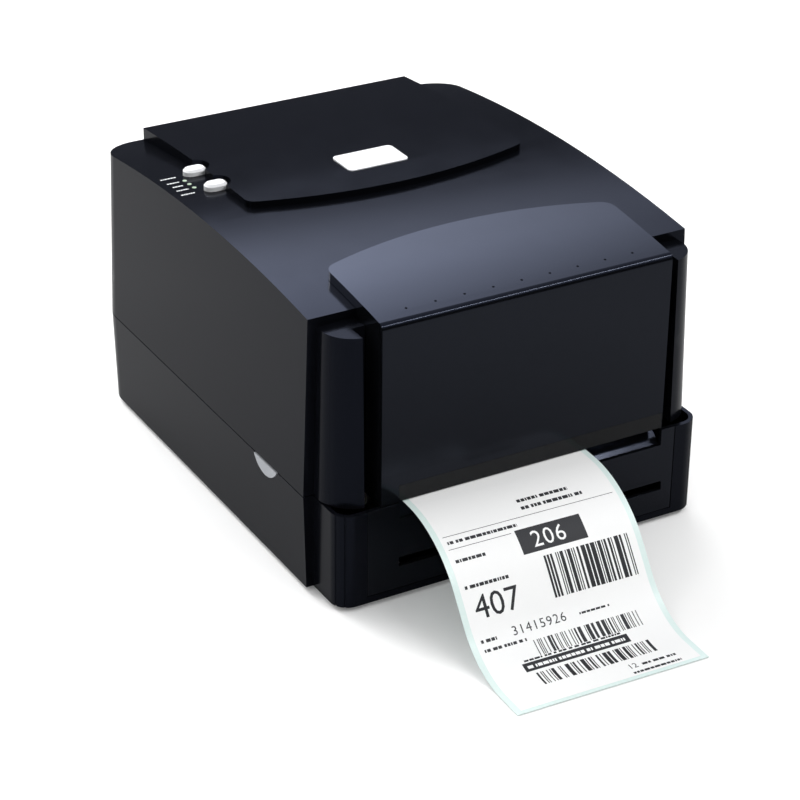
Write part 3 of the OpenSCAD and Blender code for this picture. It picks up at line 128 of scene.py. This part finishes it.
def moulded(name, low, high, rough, spread, grain_mm, depth_mm, **fixed):
    """Moulded plastic: slight colour drift, uneven gloss and the fine grain of the mould."""
    mat, tree, shader, where = material(name, low, rough, **fixed)
    drift = add(tree, "ShaderNodeTexNoise", Vector=where, Scale=14.0, Detail=3.0, Roughness=0.6)
    tint = add(tree, "ShaderNodeMix", {"data_type": "RGBA"}, Factor=drift.outputs["Fac"],
               _6=colour(low), _7=colour(high))
    tree.links.new(tint.outputs[2], shader.inputs["Base Color"])
    worn = add(tree, "ShaderNodeTexNoise", Vector=where, Scale=55.0, Detail=4.0, Roughness=0.55)
    gloss = add(tree, "ShaderNodeMapRange", Value=worn.outputs["Fac"], _3=rough - spread, _4=rough + spread)
    tree.links.new(gloss.outputs["Result"], shader.inputs["Roughness"])
    grain = add(tree, "ShaderNodeTexNoise", Vector=where, Scale=1000.0 / grain_mm, Detail=2.0)
    bump = add(tree, "ShaderNodeBump", Strength=0.35, Distance=depth_mm * MM, Height=grain.outputs["Fac"])
    tree.links.new(bump.outputs["Normal"], shader.inputs["Normal"])
    return mat


def brushed(name, low, high, rough, along, line_mm=0.25):
    """Metal with fine lines along one axis."""
    mat, tree, shader, where = material(name, low, rough, Metallic=1.0)
    k = 1000.0 / line_mm
    scale = {"X": (k * 0.02, k, k), "Y": (k, k * 0.02, k), "Z": (k, k, k * 0.02)}[along]
    lines = add(tree, "ShaderNodeMapping", Vector=where, Scale=scale)
    streak = add(tree, "ShaderNodeTexNoise", Vector=lines.outputs["Vector"], Scale=1.0, Detail=2.0)
    tint = add(tree, "ShaderNodeMix", {"data_type": "RGBA"}, Factor=streak.outputs["Fac"],
               _6=colour(low), _7=colour(high))
    tree.links.new(tint.outputs[2], shader.inputs["Base Color"])
    gloss = add(tree, "ShaderNodeMapRange", Value=streak.outputs["Fac"], _3=rough - 0.06, _4=rough + 0.1)
    tree.links.new(gloss.outputs["Result"], shader.inputs["Roughness"])
    bump = add(tree, "ShaderNodeBump", Strength=0.2, Distance=0.00002, Height=streak.outputs["Fac"])
    tree.links.new(bump.outputs["Normal"], shader.inputs["Normal"])
    return mat


# Satin moulding: the eye gets broad soft bands of the room over a deep, slightly blue black
abs_case = moulded("black_abs_satin", "#08090d", "#0b0c10", 0.17, 0.03, 0.55, 0.008,
                   IOR=1.2, Specular_Tint=colour("#c3d3ff"))
# Polished moulding: the front is nearly a mirror, with the edges drawn as thin bright lines
abs_gloss = moulded("black_abs_polished", "#07080a", "#0a0b0e", 0.12, 0.03, 0.9, 0.004,
                    IOR=1.31, Specular_Tint=colour("#d2deff"))
# Etched moulding: inner parts look dull and a little grey, like a hidden side
abs_inner = moulded("black_abs_etched", "#202226", "#2a2c31", 0.6, 0.06, 0.5, 0.03)
# Grey moulding: mid grey with a soft sheen, so moving parts stand out from the black
abs_grey = moulded("grey_abs", "#4d5158", "#5a5e66", 0.5, 0.06, 0.5, 0.03)
# White moulding: keys and badge are clean white with a soft highlight
abs_white = moulded("white_abs_keys", "#e9eaec", "#f3f4f5", 0.35, 0.05, 0.6, 0.012)
# Silver paint over plastic: a pale grey gleam, flake too fine to see
silver_paint = moulded("silver_painted_abs", "#a9adb2", "#b9bcc1", 0.32, 0.05, 0.35, 0.008, Metallic=0.35)
# Unpainted gear plastic: warm off-white, waxy
acetal = moulded("natural_acetal_gears", "#e2dfd4", "#ece9df", 0.4, 0.05, 0.7, 0.01)
# Foot rubber: flat near-black without highlights
rubber = moulded("black_rubber", "#1b1b1c", "#242425", 0.75, 0.06, 0.4, 0.03)
# Ground roller rubber: dark grey with a fine even nap
platen_rubber = moulded("ground_silicone_rubber", "#2a2b2d", "#333437", 0.62, 0.06, 0.25, 0.02)
# Cast light pipe: milky green tips that look wet
lens = moulded("milky_acrylic_lens", "#9fb39a", "#b4c6ae", 0.2, 0.03, 1.2, 0.004)
# Lacquered board: green with a thin shine
board_green = moulded("soldered_circuit_board", "#1d5a34", "#2b7446", 0.42, 0.05, 1.0, 0.02)
# Wound card tube: brown, rough and fibrous
card = moulded("grey_brown_card", "#9a7b55", "#b3936b", 0.85, 0.05, 0.8, 0.04)
# Ribbon film: black with a tight glossy skin
ribbon_black = moulded("wax_ribbon_film", "#0c0c0e", "#141417", 0.28, 0.06, 1.5, 0.01)
# Glazed ceramic of the print head: tan, hard shine
head_glaze = moulded("glazed_ceramic", "#b79a63", "#c7ab76", 0.15, 0.03, 1.0, 0.004)
# Painted motor can: charcoal with a dull gleam
motor_paint = moulded("black_painted_steel", "#26272a", "#303236", 0.38, 0.05, 0.4, 0.02)
# Ground steel rods and shells: light grey with lines along their length
steel_x = brushed("ground_steel", "#a7a9ac", "#c4c6c8", 0.28, "X")
# Zinc plated plate: cooler grey, drawn lines from the roll
zinc_sheet = brushed("zinc_plated_sheet", "#a2a5a8", "#b7babd", 0.36, "Z", 0.5)
# Turned brass: yellow with fine tool lines
brass = brushed("turned_brass", "#b08c45", "#caa75c", 0.25, "X")
# Extruded aluminium: silvery with long die lines
aluminium = brushed("extruded_aluminium", "#a9acb0", "#c2c5c8", 0.3, "X", 0.4)


def smoked_acrylic():
    """Smoked acrylic: dark grey, clear, with a polished face."""
    mat, tree, shader, where = material("smoked_acrylic", "#23262b", 0.06, IOR=1.3,
                                        Transmission_Weight=0.85)
    haze = add(tree, "ShaderNodeTexNoise", Vector=where, Scale=90.0, Detail=2.0)
    gloss = add(tree, "ShaderNodeMapRange", Value=haze.outputs["Fac"], _3=0.03, _4=0.09)
    tree.links.new(gloss.outputs["Result"], shader.inputs["Roughness"])
    return mat


def paper_coat():
    """Coated label paper: bright white, very fine fibre, soft sheen."""
    mat, tree, shader, where = material("coated_label_paper", "#fdfdfd", 0.5)
    fibre = add(tree, "ShaderNodeTexNoise", Vector=where, Scale=1600.0, Detail=3.0, Roughness=0.7)
    tint = add(tree, "ShaderNodeMix", {"data_type": "RGBA"}, Factor=fibre.outputs["Fac"],
               _6=colour("#fbfcfb"), _7=colour("#ffffff"))
    tree.links.new(tint.outputs[2], shader.inputs["Base Color"])
    bump = add(tree, "ShaderNodeBump", Strength=0.25, Distance=0.00001, Height=fibre.outputs["Fac"])
    tree.links.new(bump.outputs["Normal"], shader.inputs["Normal"])
    return mat


def liner_paper():
    """Glassine liner under the labels: pale green-blue and slightly shiny."""
    mat, tree, shader, where = material("glassine_liner", "#e0f2ee", 0.35)
    fibre = add(tree, "ShaderNodeTexNoise", Vector=where, Scale=700.0, Detail=3.0, Roughness=0.7)
    tint = add(tree, "ShaderNodeMix", {"data_type": "RGBA"}, Factor=fibre.outputs["Fac"],
               _6=colour("#dcf0ec"), _7=colour("#e8f6f3"))
    tree.links.new(tint.outputs[2], shader.inputs["Base Color"])
    return mat


def thermal_ink():
    """Transferred wax ink: flat black with tiny voids, barely raised."""
    mat, tree, shader, where = material("transferred_wax_ink", "#121212", 0.55)
    voids = add(tree, "ShaderNodeTexNoise", Vector=where, Scale=2600.0, Detail=1.0)
    tint = add(tree, "ShaderNodeMix", {"data_type": "RGBA"}, Factor=voids.outputs["Fac"],
               _6=colour("#0b0b0b"), _7=colour("#202020"))
    tree.links.new(tint.outputs[2], shader.inputs["Base Color"])
    return mat


smoke = smoked_acrylic()
label_paper = paper_coat()
liner = liner_paper()
ink = thermal_ink()
# Pad print: flat opaque white on the black
white_print = moulded("white_pad_print", "#dfe1e3", "#eceded", 0.5, 0.04, 0.8, 0.004)

FINISH = {
    abs_case: ["base_housing", "top_cover"],
    abs_gloss: ["front_lid", "lower_front_panel"],
    abs_inner: ["media_bay", "ribbon_frame", "gap_sensor", "switch_housing", "power_rocker", "power_inlet"],
    abs_grey: ["latch_hooks", "roll_end_discs", "media_guide_left", "media_guide_right", "guide_pinion",
               "supply_spindle", "rewind_spindle"],
    abs_white: ["pause_button", "feed_button", "roll_spindle", "badge_plate"],
    silver_paint: ["latch_button_left", "latch_button_right"],
    acetal: ["platen_bushes", "platen_gear", "idler_gear", "transfer_gear_lower", "transfer_gear_upper",
             "rewind_gear"],
    rubber: ["rubber_feet"],
    platen_rubber: ["platen_roller"],
    lens: ["status_light_pipes"],
    board_green: ["panel_board", "main_board"],
    card: ["label_core"],
    label_paper: ["label_roll", "label_web"],
    ribbon_black: ["supply_ribbon", "rewind_ribbon", "ribbon_film"],
    head_glaze: ["print_head"],
    motor_paint: ["stepper_motor"],
    steel_x: ["chassis_screws", "hinge_pins", "web_guide_bar", "tear_bar", "platen_shaft", "idler_stud",
              "frame_screws", "head_springs", "usb_socket", "serial_socket", "parallel_socket"],
    zinc_sheet: ["print_chassis"],
    brass: ["motor_pinion"],
    aluminium: ["head_heat_sink"],
    smoke: ["tear_window"],
}
for finish, names in FINISH.items():
    for name in names:
        mesh = NODES[name].data
        mesh.materials.clear()
        mesh.materials.append(finish)


# ---------------------------------------------------------------- pieces
def piece(name, mesh, body, finish=None):
    made = bpy.data.objects.new(name, mesh)
    bpy.context.scene.collection.objects.link(made)
    if finish is not None:
        mesh.materials.clear()
        mesh.materials.append(finish)
    if body:
        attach(made, body)
    return made


def rounded(node, name, body, finish, radius_mm, segments=3, limit=28):
    """A copy of a moulding with its edges rolled, as they leave a mould."""
    mesh = NODES[node].data.copy()
    bm = bmesh.new()
    bm.from_mesh(mesh)
    bmesh.ops.remove_doubles(bm, verts=bm.verts, dist=2e-6)
    bmesh.ops.dissolve_limit(bm, angle_limit=radians(0.6), verts=bm.verts, edges=bm.edges,
                             delimit={"NORMAL"})
    bm.to_mesh(mesh)
    bm.free()
    mesh.name = name
    made = piece(name, mesh, None, finish)
    bevel = made.modifiers.new("edge_roll", "BEVEL")
    bevel.width = radius_mm * MM
    bevel.segments = segments
    bevel.limit_method = "ANGLE"
    bevel.angle_limit = radians(limit)
    bevel.use_clamp_overlap = True
    bevel.harden_normals = False
    for poly in mesh.polygons:
        poly.use_smooth = True
    weighted = made.modifiers.new("flat_faces_first", "WEIGHTED_NORMAL")
    weighted.keep_sharp = True
    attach(made, body)
    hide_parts(node)
    return made


rounded("top_cover", "cover_moulding", "cover", abs_case, 1.2, 4)
rounded("base_housing", "base_moulding", "base", abs_case, 0.7)
rounded("front_lid", "lid_moulding", "cover", abs_gloss, 1.3, 4)
rounded("lower_front_panel", "lower_panel_moulding", "base", abs_gloss, 0.5)


def head_spring_wires():
    """The two springs over the print head, as one copied mesh carried with the cover."""
    mesh = NODES["head_springs"].data.copy()
    bm = bmesh.new()
    bm.from_mesh(mesh)
    bmesh.ops.remove_doubles(bm, verts=bm.verts, dist=2e-6)
    bm.to_mesh(mesh)
    bm.free()
    mesh.name = "spring_wires"
    made = piece("spring_wires", mesh, "cover", steel_x)
    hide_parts("head_springs")
    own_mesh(made)


head_spring_wires()

# ---------------------------------------------------------------- label web
WEB_X, WEB_W, WEB_T = -17.0, 110.6, 0.3
R_TOP, R_LOW, DROP = 61.8, 46.6, radians(53)
OUT, TAIL, REST = 7.1, 17.0, 0.6
FALL = PART_Z - (R_TOP + R_LOW) * (1 - cos(DROP)) - REST
SLANT = FALL / sin(DROP)
BAR = Vector((FRONT + 128.5, PART_Z + 5 + 0.3 + WEB_T / 2))
ROLL = Vector((REAR - 76.5, PART_Z + 10.5))
WRAP, OFF = 5 + 0.3 + WEB_T / 2, 54 + 0.3 + WEB_T / 2
YAW = radians(1.7)
TURN_Y = FRONT + 24.5


def web_path():
    """Middle line of the web from the loose end to the roll, as (distance, y, z)."""
    end_y = FRONT - OUT - (R_TOP + R_LOW) * sin(DROP) - SLANT * cos(DROP) - TAIL
    pts = [Vector((end_y, REST))]
    low = Vector((end_y + TAIL, REST + R_LOW))
    top = Vector((FRONT - OUT, PART_Z - R_TOP))

    def arc(c, r, a0, a1, n):
        return [c + r * Vector((cos(a0 + (a1 - a0) * i / n), sin(a0 + (a1 - a0) * i / n)))
                for i in range(n + 1)]

    pts += arc(low, R_LOW, -pi / 2, DROP - pi / 2, 36)
    pts += arc(top, R_TOP, pi / 2 + DROP, pi / 2, 44)
    pts += [Vector((TURN_Y + k * 15.0, PART_Z)) for k in range(6)]
    to_roll = ROLL - BAR
    rise = atan2(to_roll.y, to_roll.x) + asin((WRAP + OFF) / to_roll.length)
    pts += arc(BAR, WRAP, -pi / 2, rise - pi / 2, 12)
    pts.append(ROLL - OFF * Vector((sin(rise), -cos(rise))))
    path, run = [], 0.0
    for i, p in enumerate(pts):
        if i:
            run += (p - pts[i - 1]).length
        path.append((run, p.x, p.y))
    return path


PATH = web_path()


def web_point(u, v, lift=0.0):
    """Point of the web u mm right of its middle and v mm from its loose end, lifted off its upper face."""
    i = 1
    while i < len(PATH) - 1 and PATH[i][0] < v:
        i += 1
    (s0, y0, z0), (s1, y1, z1) = PATH[i - 1], PATH[i]
    k = (v - s0) / (s1 - s0)
    y, z = y0 + (y1 - y0) * k, z0 + (z1 - z0) * k
    dy, dz = (y1 - y0) / (s1 - s0), (z1 - z0) / (s1 - s0)
    y, z = y - dz * lift, z + dy * lift
    x = WEB_X + u
    if y < TURN_Y:
        dx, dy2 = x - WEB_X, y - TURN_Y
        x = WEB_X + dx * cos(YAW) + dy2 * sin(YAW)
        y = TURN_Y + dy2 * cos(YAW) - dx * sin(YAW)
    return Vector((x, y, z)) * MM


def web_sheet(name, u0, u1, v0, v1, low, high, finish, body="base", steps_u=6):
    """A strip of the web between two heights over its middle face, closed all round."""
    stops = [v0] + [s for s, _, _ in PATH if v0 + 0.05 < s < v1 - 0.05] + [v1]
    us = [u0 + (u1 - u0) * i / steps_u for i in range(steps_u + 1)]
    bm = bmesh.new()
    rows = [[[bm.verts.new(web_point(u, v, h)) for u in us] for v in stops] for h in (low, high)]
    nv, nu = len(stops), len(us)
    for j in range(nv - 1):
        for i in range(nu - 1):
            bm.faces.new((rows[1][j][i], rows[1][j][i + 1], rows[1][j + 1][i + 1], rows[1][j + 1][i]))
            bm.faces.new((rows[0][j][i], rows[0][j + 1][i], rows[0][j + 1][i + 1], rows[0][j][i + 1]))
    for j in range(nv - 1):
        bm.faces.new((rows[0][j][0], rows[1][j][0], rows[1][j + 1][0], rows[0][j + 1][0]))
        bm.faces.new((rows[0][j][-1], rows[0][j + 1][-1], rows[1][j + 1][-1], rows[1][j][-1]))
    for i in range(nu - 1):
        bm.faces.new((rows[0][0][i], rows[0][0][i + 1], rows[1][0][i + 1], rows[1][0][i]))
        bm.faces.new((rows[0][-1][i], rows[1][-1][i], rows[1][-1][i + 1], rows[0][-1][i + 1]))
    bmesh.ops.recalc_face_normals(bm, faces=bm.faces)
    mesh = bpy.data.meshes.new(name)
    bm.to_mesh(mesh)
    bm.free()
    for poly in mesh.polygons:
        poly.use_smooth = True
    made = piece(name, mesh, body, finish)
    made.data.set_sharp_from_angle(angle=radians(35))
    return made


web = web_sheet("liner_web", -WEB_W / 2, WEB_W / 2, 0.0, PATH[-1][0], -WEB_T / 2, WEB_T / 2, liner)
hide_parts("label_web")
LABEL_W, LABEL_L, LABEL_GAP, LABEL_START = 104.0, 152.4, 3.0, 2.5
web_sheet("front_label", -LABEL_W / 2, LABEL_W / 2, LABEL_START, LABEL_START + LABEL_L,
          WEB_T / 2, WEB_T / 2 + 0.08, label_paper)
FACE = WEB_T / 2 + 0.08
# blank labels follow it on the liner, as far as the roll
label_v, count = LABEL_START + LABEL_L + LABEL_GAP, 1
while label_v < PATH[-1][0] - LABEL_GAP:
    count += 1
    web_sheet("blank_label_%d" % count, -LABEL_W / 2, LABEL_W / 2, label_v,
              min(label_v + LABEL_L, PATH[-1][0] - 0.5), WEB_T / 2, FACE, label_paper)
    label_v += LABEL_L + LABEL_GAP

# ---------------------------------------------------------------- printed marks
marks = bmesh.new()


def bar(u0, u1, v0, v1, lift=FACE + 0.02, into=marks):
    """A printed rectangle on the label, from u0 to u1 across and v0 to v1 along."""
    stops = [v0] + [s for s, _, _ in PATH if v0 + 0.2 < s < v1 - 0.2] + [v1]
    left = [into.verts.new(web_point(u0, v, lift)) for v in stops]
    right = [into.verts.new(web_point(u1, v, lift)) for v in stops]
    for j in range(len(stops) - 1):
        into.faces.new((left[j], right[j], right[j + 1], left[j + 1]))


def bar_code(u0, v0, v1, module, runs):
    """A row of bars from u0; runs lists bar and space widths in modules."""
    u = u0
    for i, n in enumerate(runs):
        if i % 2 == 0:
            bar(u, u + n * module, v0, v1)
        u += n * module
    return u


def code_runs(seed, count):
    """Bar and space widths of one to four modules from a fixed rule."""
    value, runs = seed, []
    for _ in range(count):
        value = (value * 1103515245 + 12345) % 2147483648
        runs.append((1, 1, 1, 2, 2, 3, 1, 4)[(value >> 16) % 8])
    return runs


L_TOP = LABEL_START + LABEL_L


def down(d):
    """Distance along the web of a line d mm below the label's top edge."""
    return L_TOP - d


# heading block, codes and rules of a made-up parcel label
HEAD = (-12.0, 26.0, 68.0, 54.5)
STRIP = (-34.0, 27.0, 127.0, 121.6)
for u0, u1, foot, top in (HEAD, STRIP):
    bar(u0, u1, down(foot), down(top))
bar_code(-2, down(93), down(71), 0.62, code_runs(7, 47))
bar_code(-22, down(119.5), down(110.5), 0.5, code_runs(19, 65))
bar_code(-30, down(138.5), down(129), 0.56, code_runs(31, 63))


def digits(into, text, u, v, height, spacing=1.0, lift=FACE + 0.02):
    """Plain digits, their foot at distance v."""
    curve = bpy.data.curves.new("digits", "FONT")
    curve.body = text
    curve.size = 1.0
    curve.resolution_u = 3
    curve.space_character = spacing
    obj = bpy.data.objects.new("digits", curve)
    bpy.context.scene.collection.objects.link(obj)
    bpy.context.view_layer.update()
    mesh = bpy.data.meshes.new_from_object(obj.evaluated_get(bpy.context.evaluated_depsgraph_get()))
    bpy.data.objects.remove(obj)
    k = height / 0.72
    start = len(into.verts)
    into.from_mesh(mesh)
    into.verts.ensure_lookup_table()
    for vert in into.verts[start:]:
        vert.co = web_point(u + vert.co.x * k, v + vert.co.y * k, lift)
    bpy.data.meshes.remove(mesh)


digits(marks, "407", -47, down(93), 12.5)
digits(marks, "31415926", -31, down(105.5), 5.0, 1.15)
digits(marks, "12", 14, down(146.5), 4.0)
# the figures in the heading block and the words in the strip are bare paper
bare = bmesh.new()
digits(bare, "206", -5, down(65.6), 9.0, 1.1, FACE + 0.04)


def greeked(u, v, length, height=1.3, seed=3, into=marks, lift=FACE + 0.02):
    """A line of unreadable small text as short dashes."""
    value, at = seed, u
    while at < u + length:
        value = (value * 1103515245 + 12345) % 2147483648
        w = 0.9 + (value >> 16) % 5 * 0.55
        bar(at, min(at + w, u + length), v, v + height, lift, into)
        at += w + (0.45 if (value >> 20) % 4 else 1.4)


for u, d, length, height, seed in ((-49, 52.5, 40, 1.7, 5), (-49, 63, 17, 1.7, 9), (-49, 77, 25, 1.7, 11),
                                   (-49, 105, 9, 1.7, 12), (8, 104.5, 18, 1.1, 13), (-49, 110, 24, 1.6, 14),
                                   (-32, 120.9, 56, 1.1, 15), (22, 146, 20, 1.7, 16), (14, 151, 28, 1.6, 19),
                                   (-2, 39, 30, 2.0, 17), (-2, 44, 36, 2.0, 18)):
    greeked(u, down(d), length, height, seed)
greeked(-32, down(125.4), 57, 1.9, 21, bare, FACE + 0.04)
for d in (48, 55.5):
    bar(-50, 50 if d < 50 else -14, down(d), down(d) + 0.3)
printed = bpy.data.meshes.new("label_print")
marks.to_mesh(printed)
marks.free()
piece("label_print", printed, "base", ink)
unprinted = bpy.data.meshes.new("bare_figures")
bare.to_mesh(unprinted)
bare.free()
piece("bare_figures", unprinted, "base", label_paper)

# ---------------------------------------------------------------- pad printing beside the keys
def top_print(name, rows):
    """Small white dashes printed on the cover's top; rows are (x, y, length, seed)."""
    bm = bmesh.new()
    for x, y, length, seed in rows:
        value, at = seed, x
        while at < x + length:
            value = (value * 1103515245 + 12345) % 2147483648
            end = min(at + 0.7 + (value >> 16) % 3 * 0.35, x + length)
            low, high = y * MM, (y + 1.1) * MM
            floor_z = (crown(y) + 0.05) * MM
            ring = ((at * MM, low), (end * MM, low), (end * MM, high), (at * MM, high))
            bm.faces.new([bm.verts.new((px, py, floor_z)) for px, py in ring])
            at = end + 0.35
    mesh = bpy.data.meshes.new(name)
    bm.to_mesh(mesh)
    bm.free()
    return piece(name, mesh, "cover", white_print)


KEY_Y = FRONT + 194.0
top_print("key_legends", ((-108.5, KEY_Y + 12.4, 9, 5), (-108.5, KEY_Y - 13.9, 8, 6), (-108, KEY_Y + 4.8, 7, 7),
                          (-107.5, KEY_Y - 1.2, 6, 8), (-108, KEY_Y - 7.2, 7, 9)))




# ---------------------------------------------------------------- stage and light
def stage():
    floor_mesh = bpy.data.meshes.new("studio_floor")
    bm = bmesh.new()
    rows = [[bm.verts.new((x, y, 0.0)) for x in (-6.0, 6.0)] for y in (-6.0, 6.0)]
    bm.faces.new((rows[0][0], rows[0][1], rows[1][1], rows[1][0]))
    bm.to_mesh(floor_mesh)
    bm.free()
    floor = bpy.data.objects.new("studio_floor", floor_mesh)
    bpy.context.scene.collection.objects.link(floor)
    mat = bpy.data.materials.new("white_paper_sweep")
    mat.use_nodes = True
    tree = mat.node_tree
    tree.nodes.clear()
    out = add(tree, "ShaderNodeOutputMaterial")
    path = add(tree, "ShaderNodeLightPath")
    paper = add(tree, "ShaderNodeMix", {"data_type": "RGBA"}, Factor=path.outputs["Is Glossy Ray"],
                _6=colour("#f4f4f4"), _7=colour("#bcbcbc"))
    matte = add(tree, "ShaderNodeBsdfDiffuse", Color=paper.outputs[2])
    shown = add(tree, "ShaderNodeMath", {"operation": "MAXIMUM"},
                _0=path.outputs["Is Camera Ray"], _1=path.outputs["Is Transmission Ray"])
    level = add(tree, "ShaderNodeMath", {"operation": "MULTIPLY"}, _0=shown.outputs["Value"], _1=0.12)
    lift = add(tree, "ShaderNodeEmission", Color=colour("#ffffff"), Strength=level.outputs["Value"])
    both = add(tree, "ShaderNodeAddShader", _0=matte.outputs["BSDF"], _1=lift.outputs["Emission"])
    tree.links.new(both.outputs["Shader"], out.inputs["Surface"])
    floor_mesh.materials.append(mat)


stage()


def soft_light(name, place, aim, size, power, tint="#ffffff"):
    lamp = bpy.data.lights.new(name, "AREA")
    lamp.shape = "RECTANGLE"
    lamp.size, lamp.size_y = size
    lamp.energy = power
    lamp.color = colour(tint)[:3]
    obj = bpy.data.objects.new(name, lamp)
    obj.location = place
    obj.rotation_mode = "QUATERNION"
    obj.rotation_quaternion = (Vector(aim) - Vector(place)).to_track_quat("-Z", "Y")
    bpy.context.scene.collection.objects.link(obj)
    return obj


soft_light("front_strip", (0.75, -0.85, 1.45), (0, -0.05, 0.12), (1.6, 0.05), 12)
soft_light("rear_strip", (-0.45, 1.45, 1.25), (0, 0.05, 0.12), (0.6, 0.2), 11)
soft_light("left_strip", (-1.5, -0.5, 1.0), (0, 0.0, 0.1), (0.12, 0.9), 3)


def tent():
    """A light tent over a dark rim: its wall glows from about 25 degrees up, most of all behind the printer."""
    world = bpy.data.worlds.new("light_tent")
    bpy.context.scene.world = world
    world.use_nodes = True
    tree = world.node_tree
    tree.nodes.clear()
    way = add(tree, "ShaderNodeTexCoord").outputs["Generated"]
    height = add(tree, "ShaderNodeSeparateXYZ", Vector=way).outputs["Z"]
    ramp = add(tree, "ShaderNodeValToRGB", Fac=height)
    stops = ((0.0, 0.01), (0.43, 0.01), (0.5, 0.4), (0.58, 0.85), (0.7, 1.0), (0.8, 0.8), (1.0, 0.9))
    marks_of = ramp.color_ramp.elements
    while len(marks_of) < len(stops):
        marks_of.new(0.5)
    for mark, (at, level) in zip(marks_of, stops):
        mark.position = at
        mark.color = (level, level, level, 1.0)
    # the wall behind the printer is lit much brighter
    side = add(tree, "ShaderNodeVectorMath", {"operation": "DOT_PRODUCT"}, _0=way, _1=(-0.1, 0.995, 0.0))
    glow = add(tree, "ShaderNodeMapRange", {"interpolation_type": "SMOOTHSTEP"},
               Value=side.outputs["Value"], _1=0.48, _2=0.83, _3=1.0, _4=11.5)
    # polished black takes a cool tone from it
    path = add(tree, "ShaderNodeLightPath")
    cool = add(tree, "ShaderNodeMix", {"data_type": "RGBA", "blend_type": "MULTIPLY"},
               Factor=path.outputs["Is Glossy Ray"], _6=ramp.outputs["Color"], _7=colour("#dbe4ff"))
    wall = add(tree, "ShaderNodeBackground", Color=cool.outputs[2], Strength=glow.outputs["Result"])
    last = add(tree, "ShaderNodeOutputWorld")
    tree.links.new(wall.outputs["Background"], last.inputs["Surface"])


tent()

bpy.context.scene.view_settings.view_transform = "Standard"
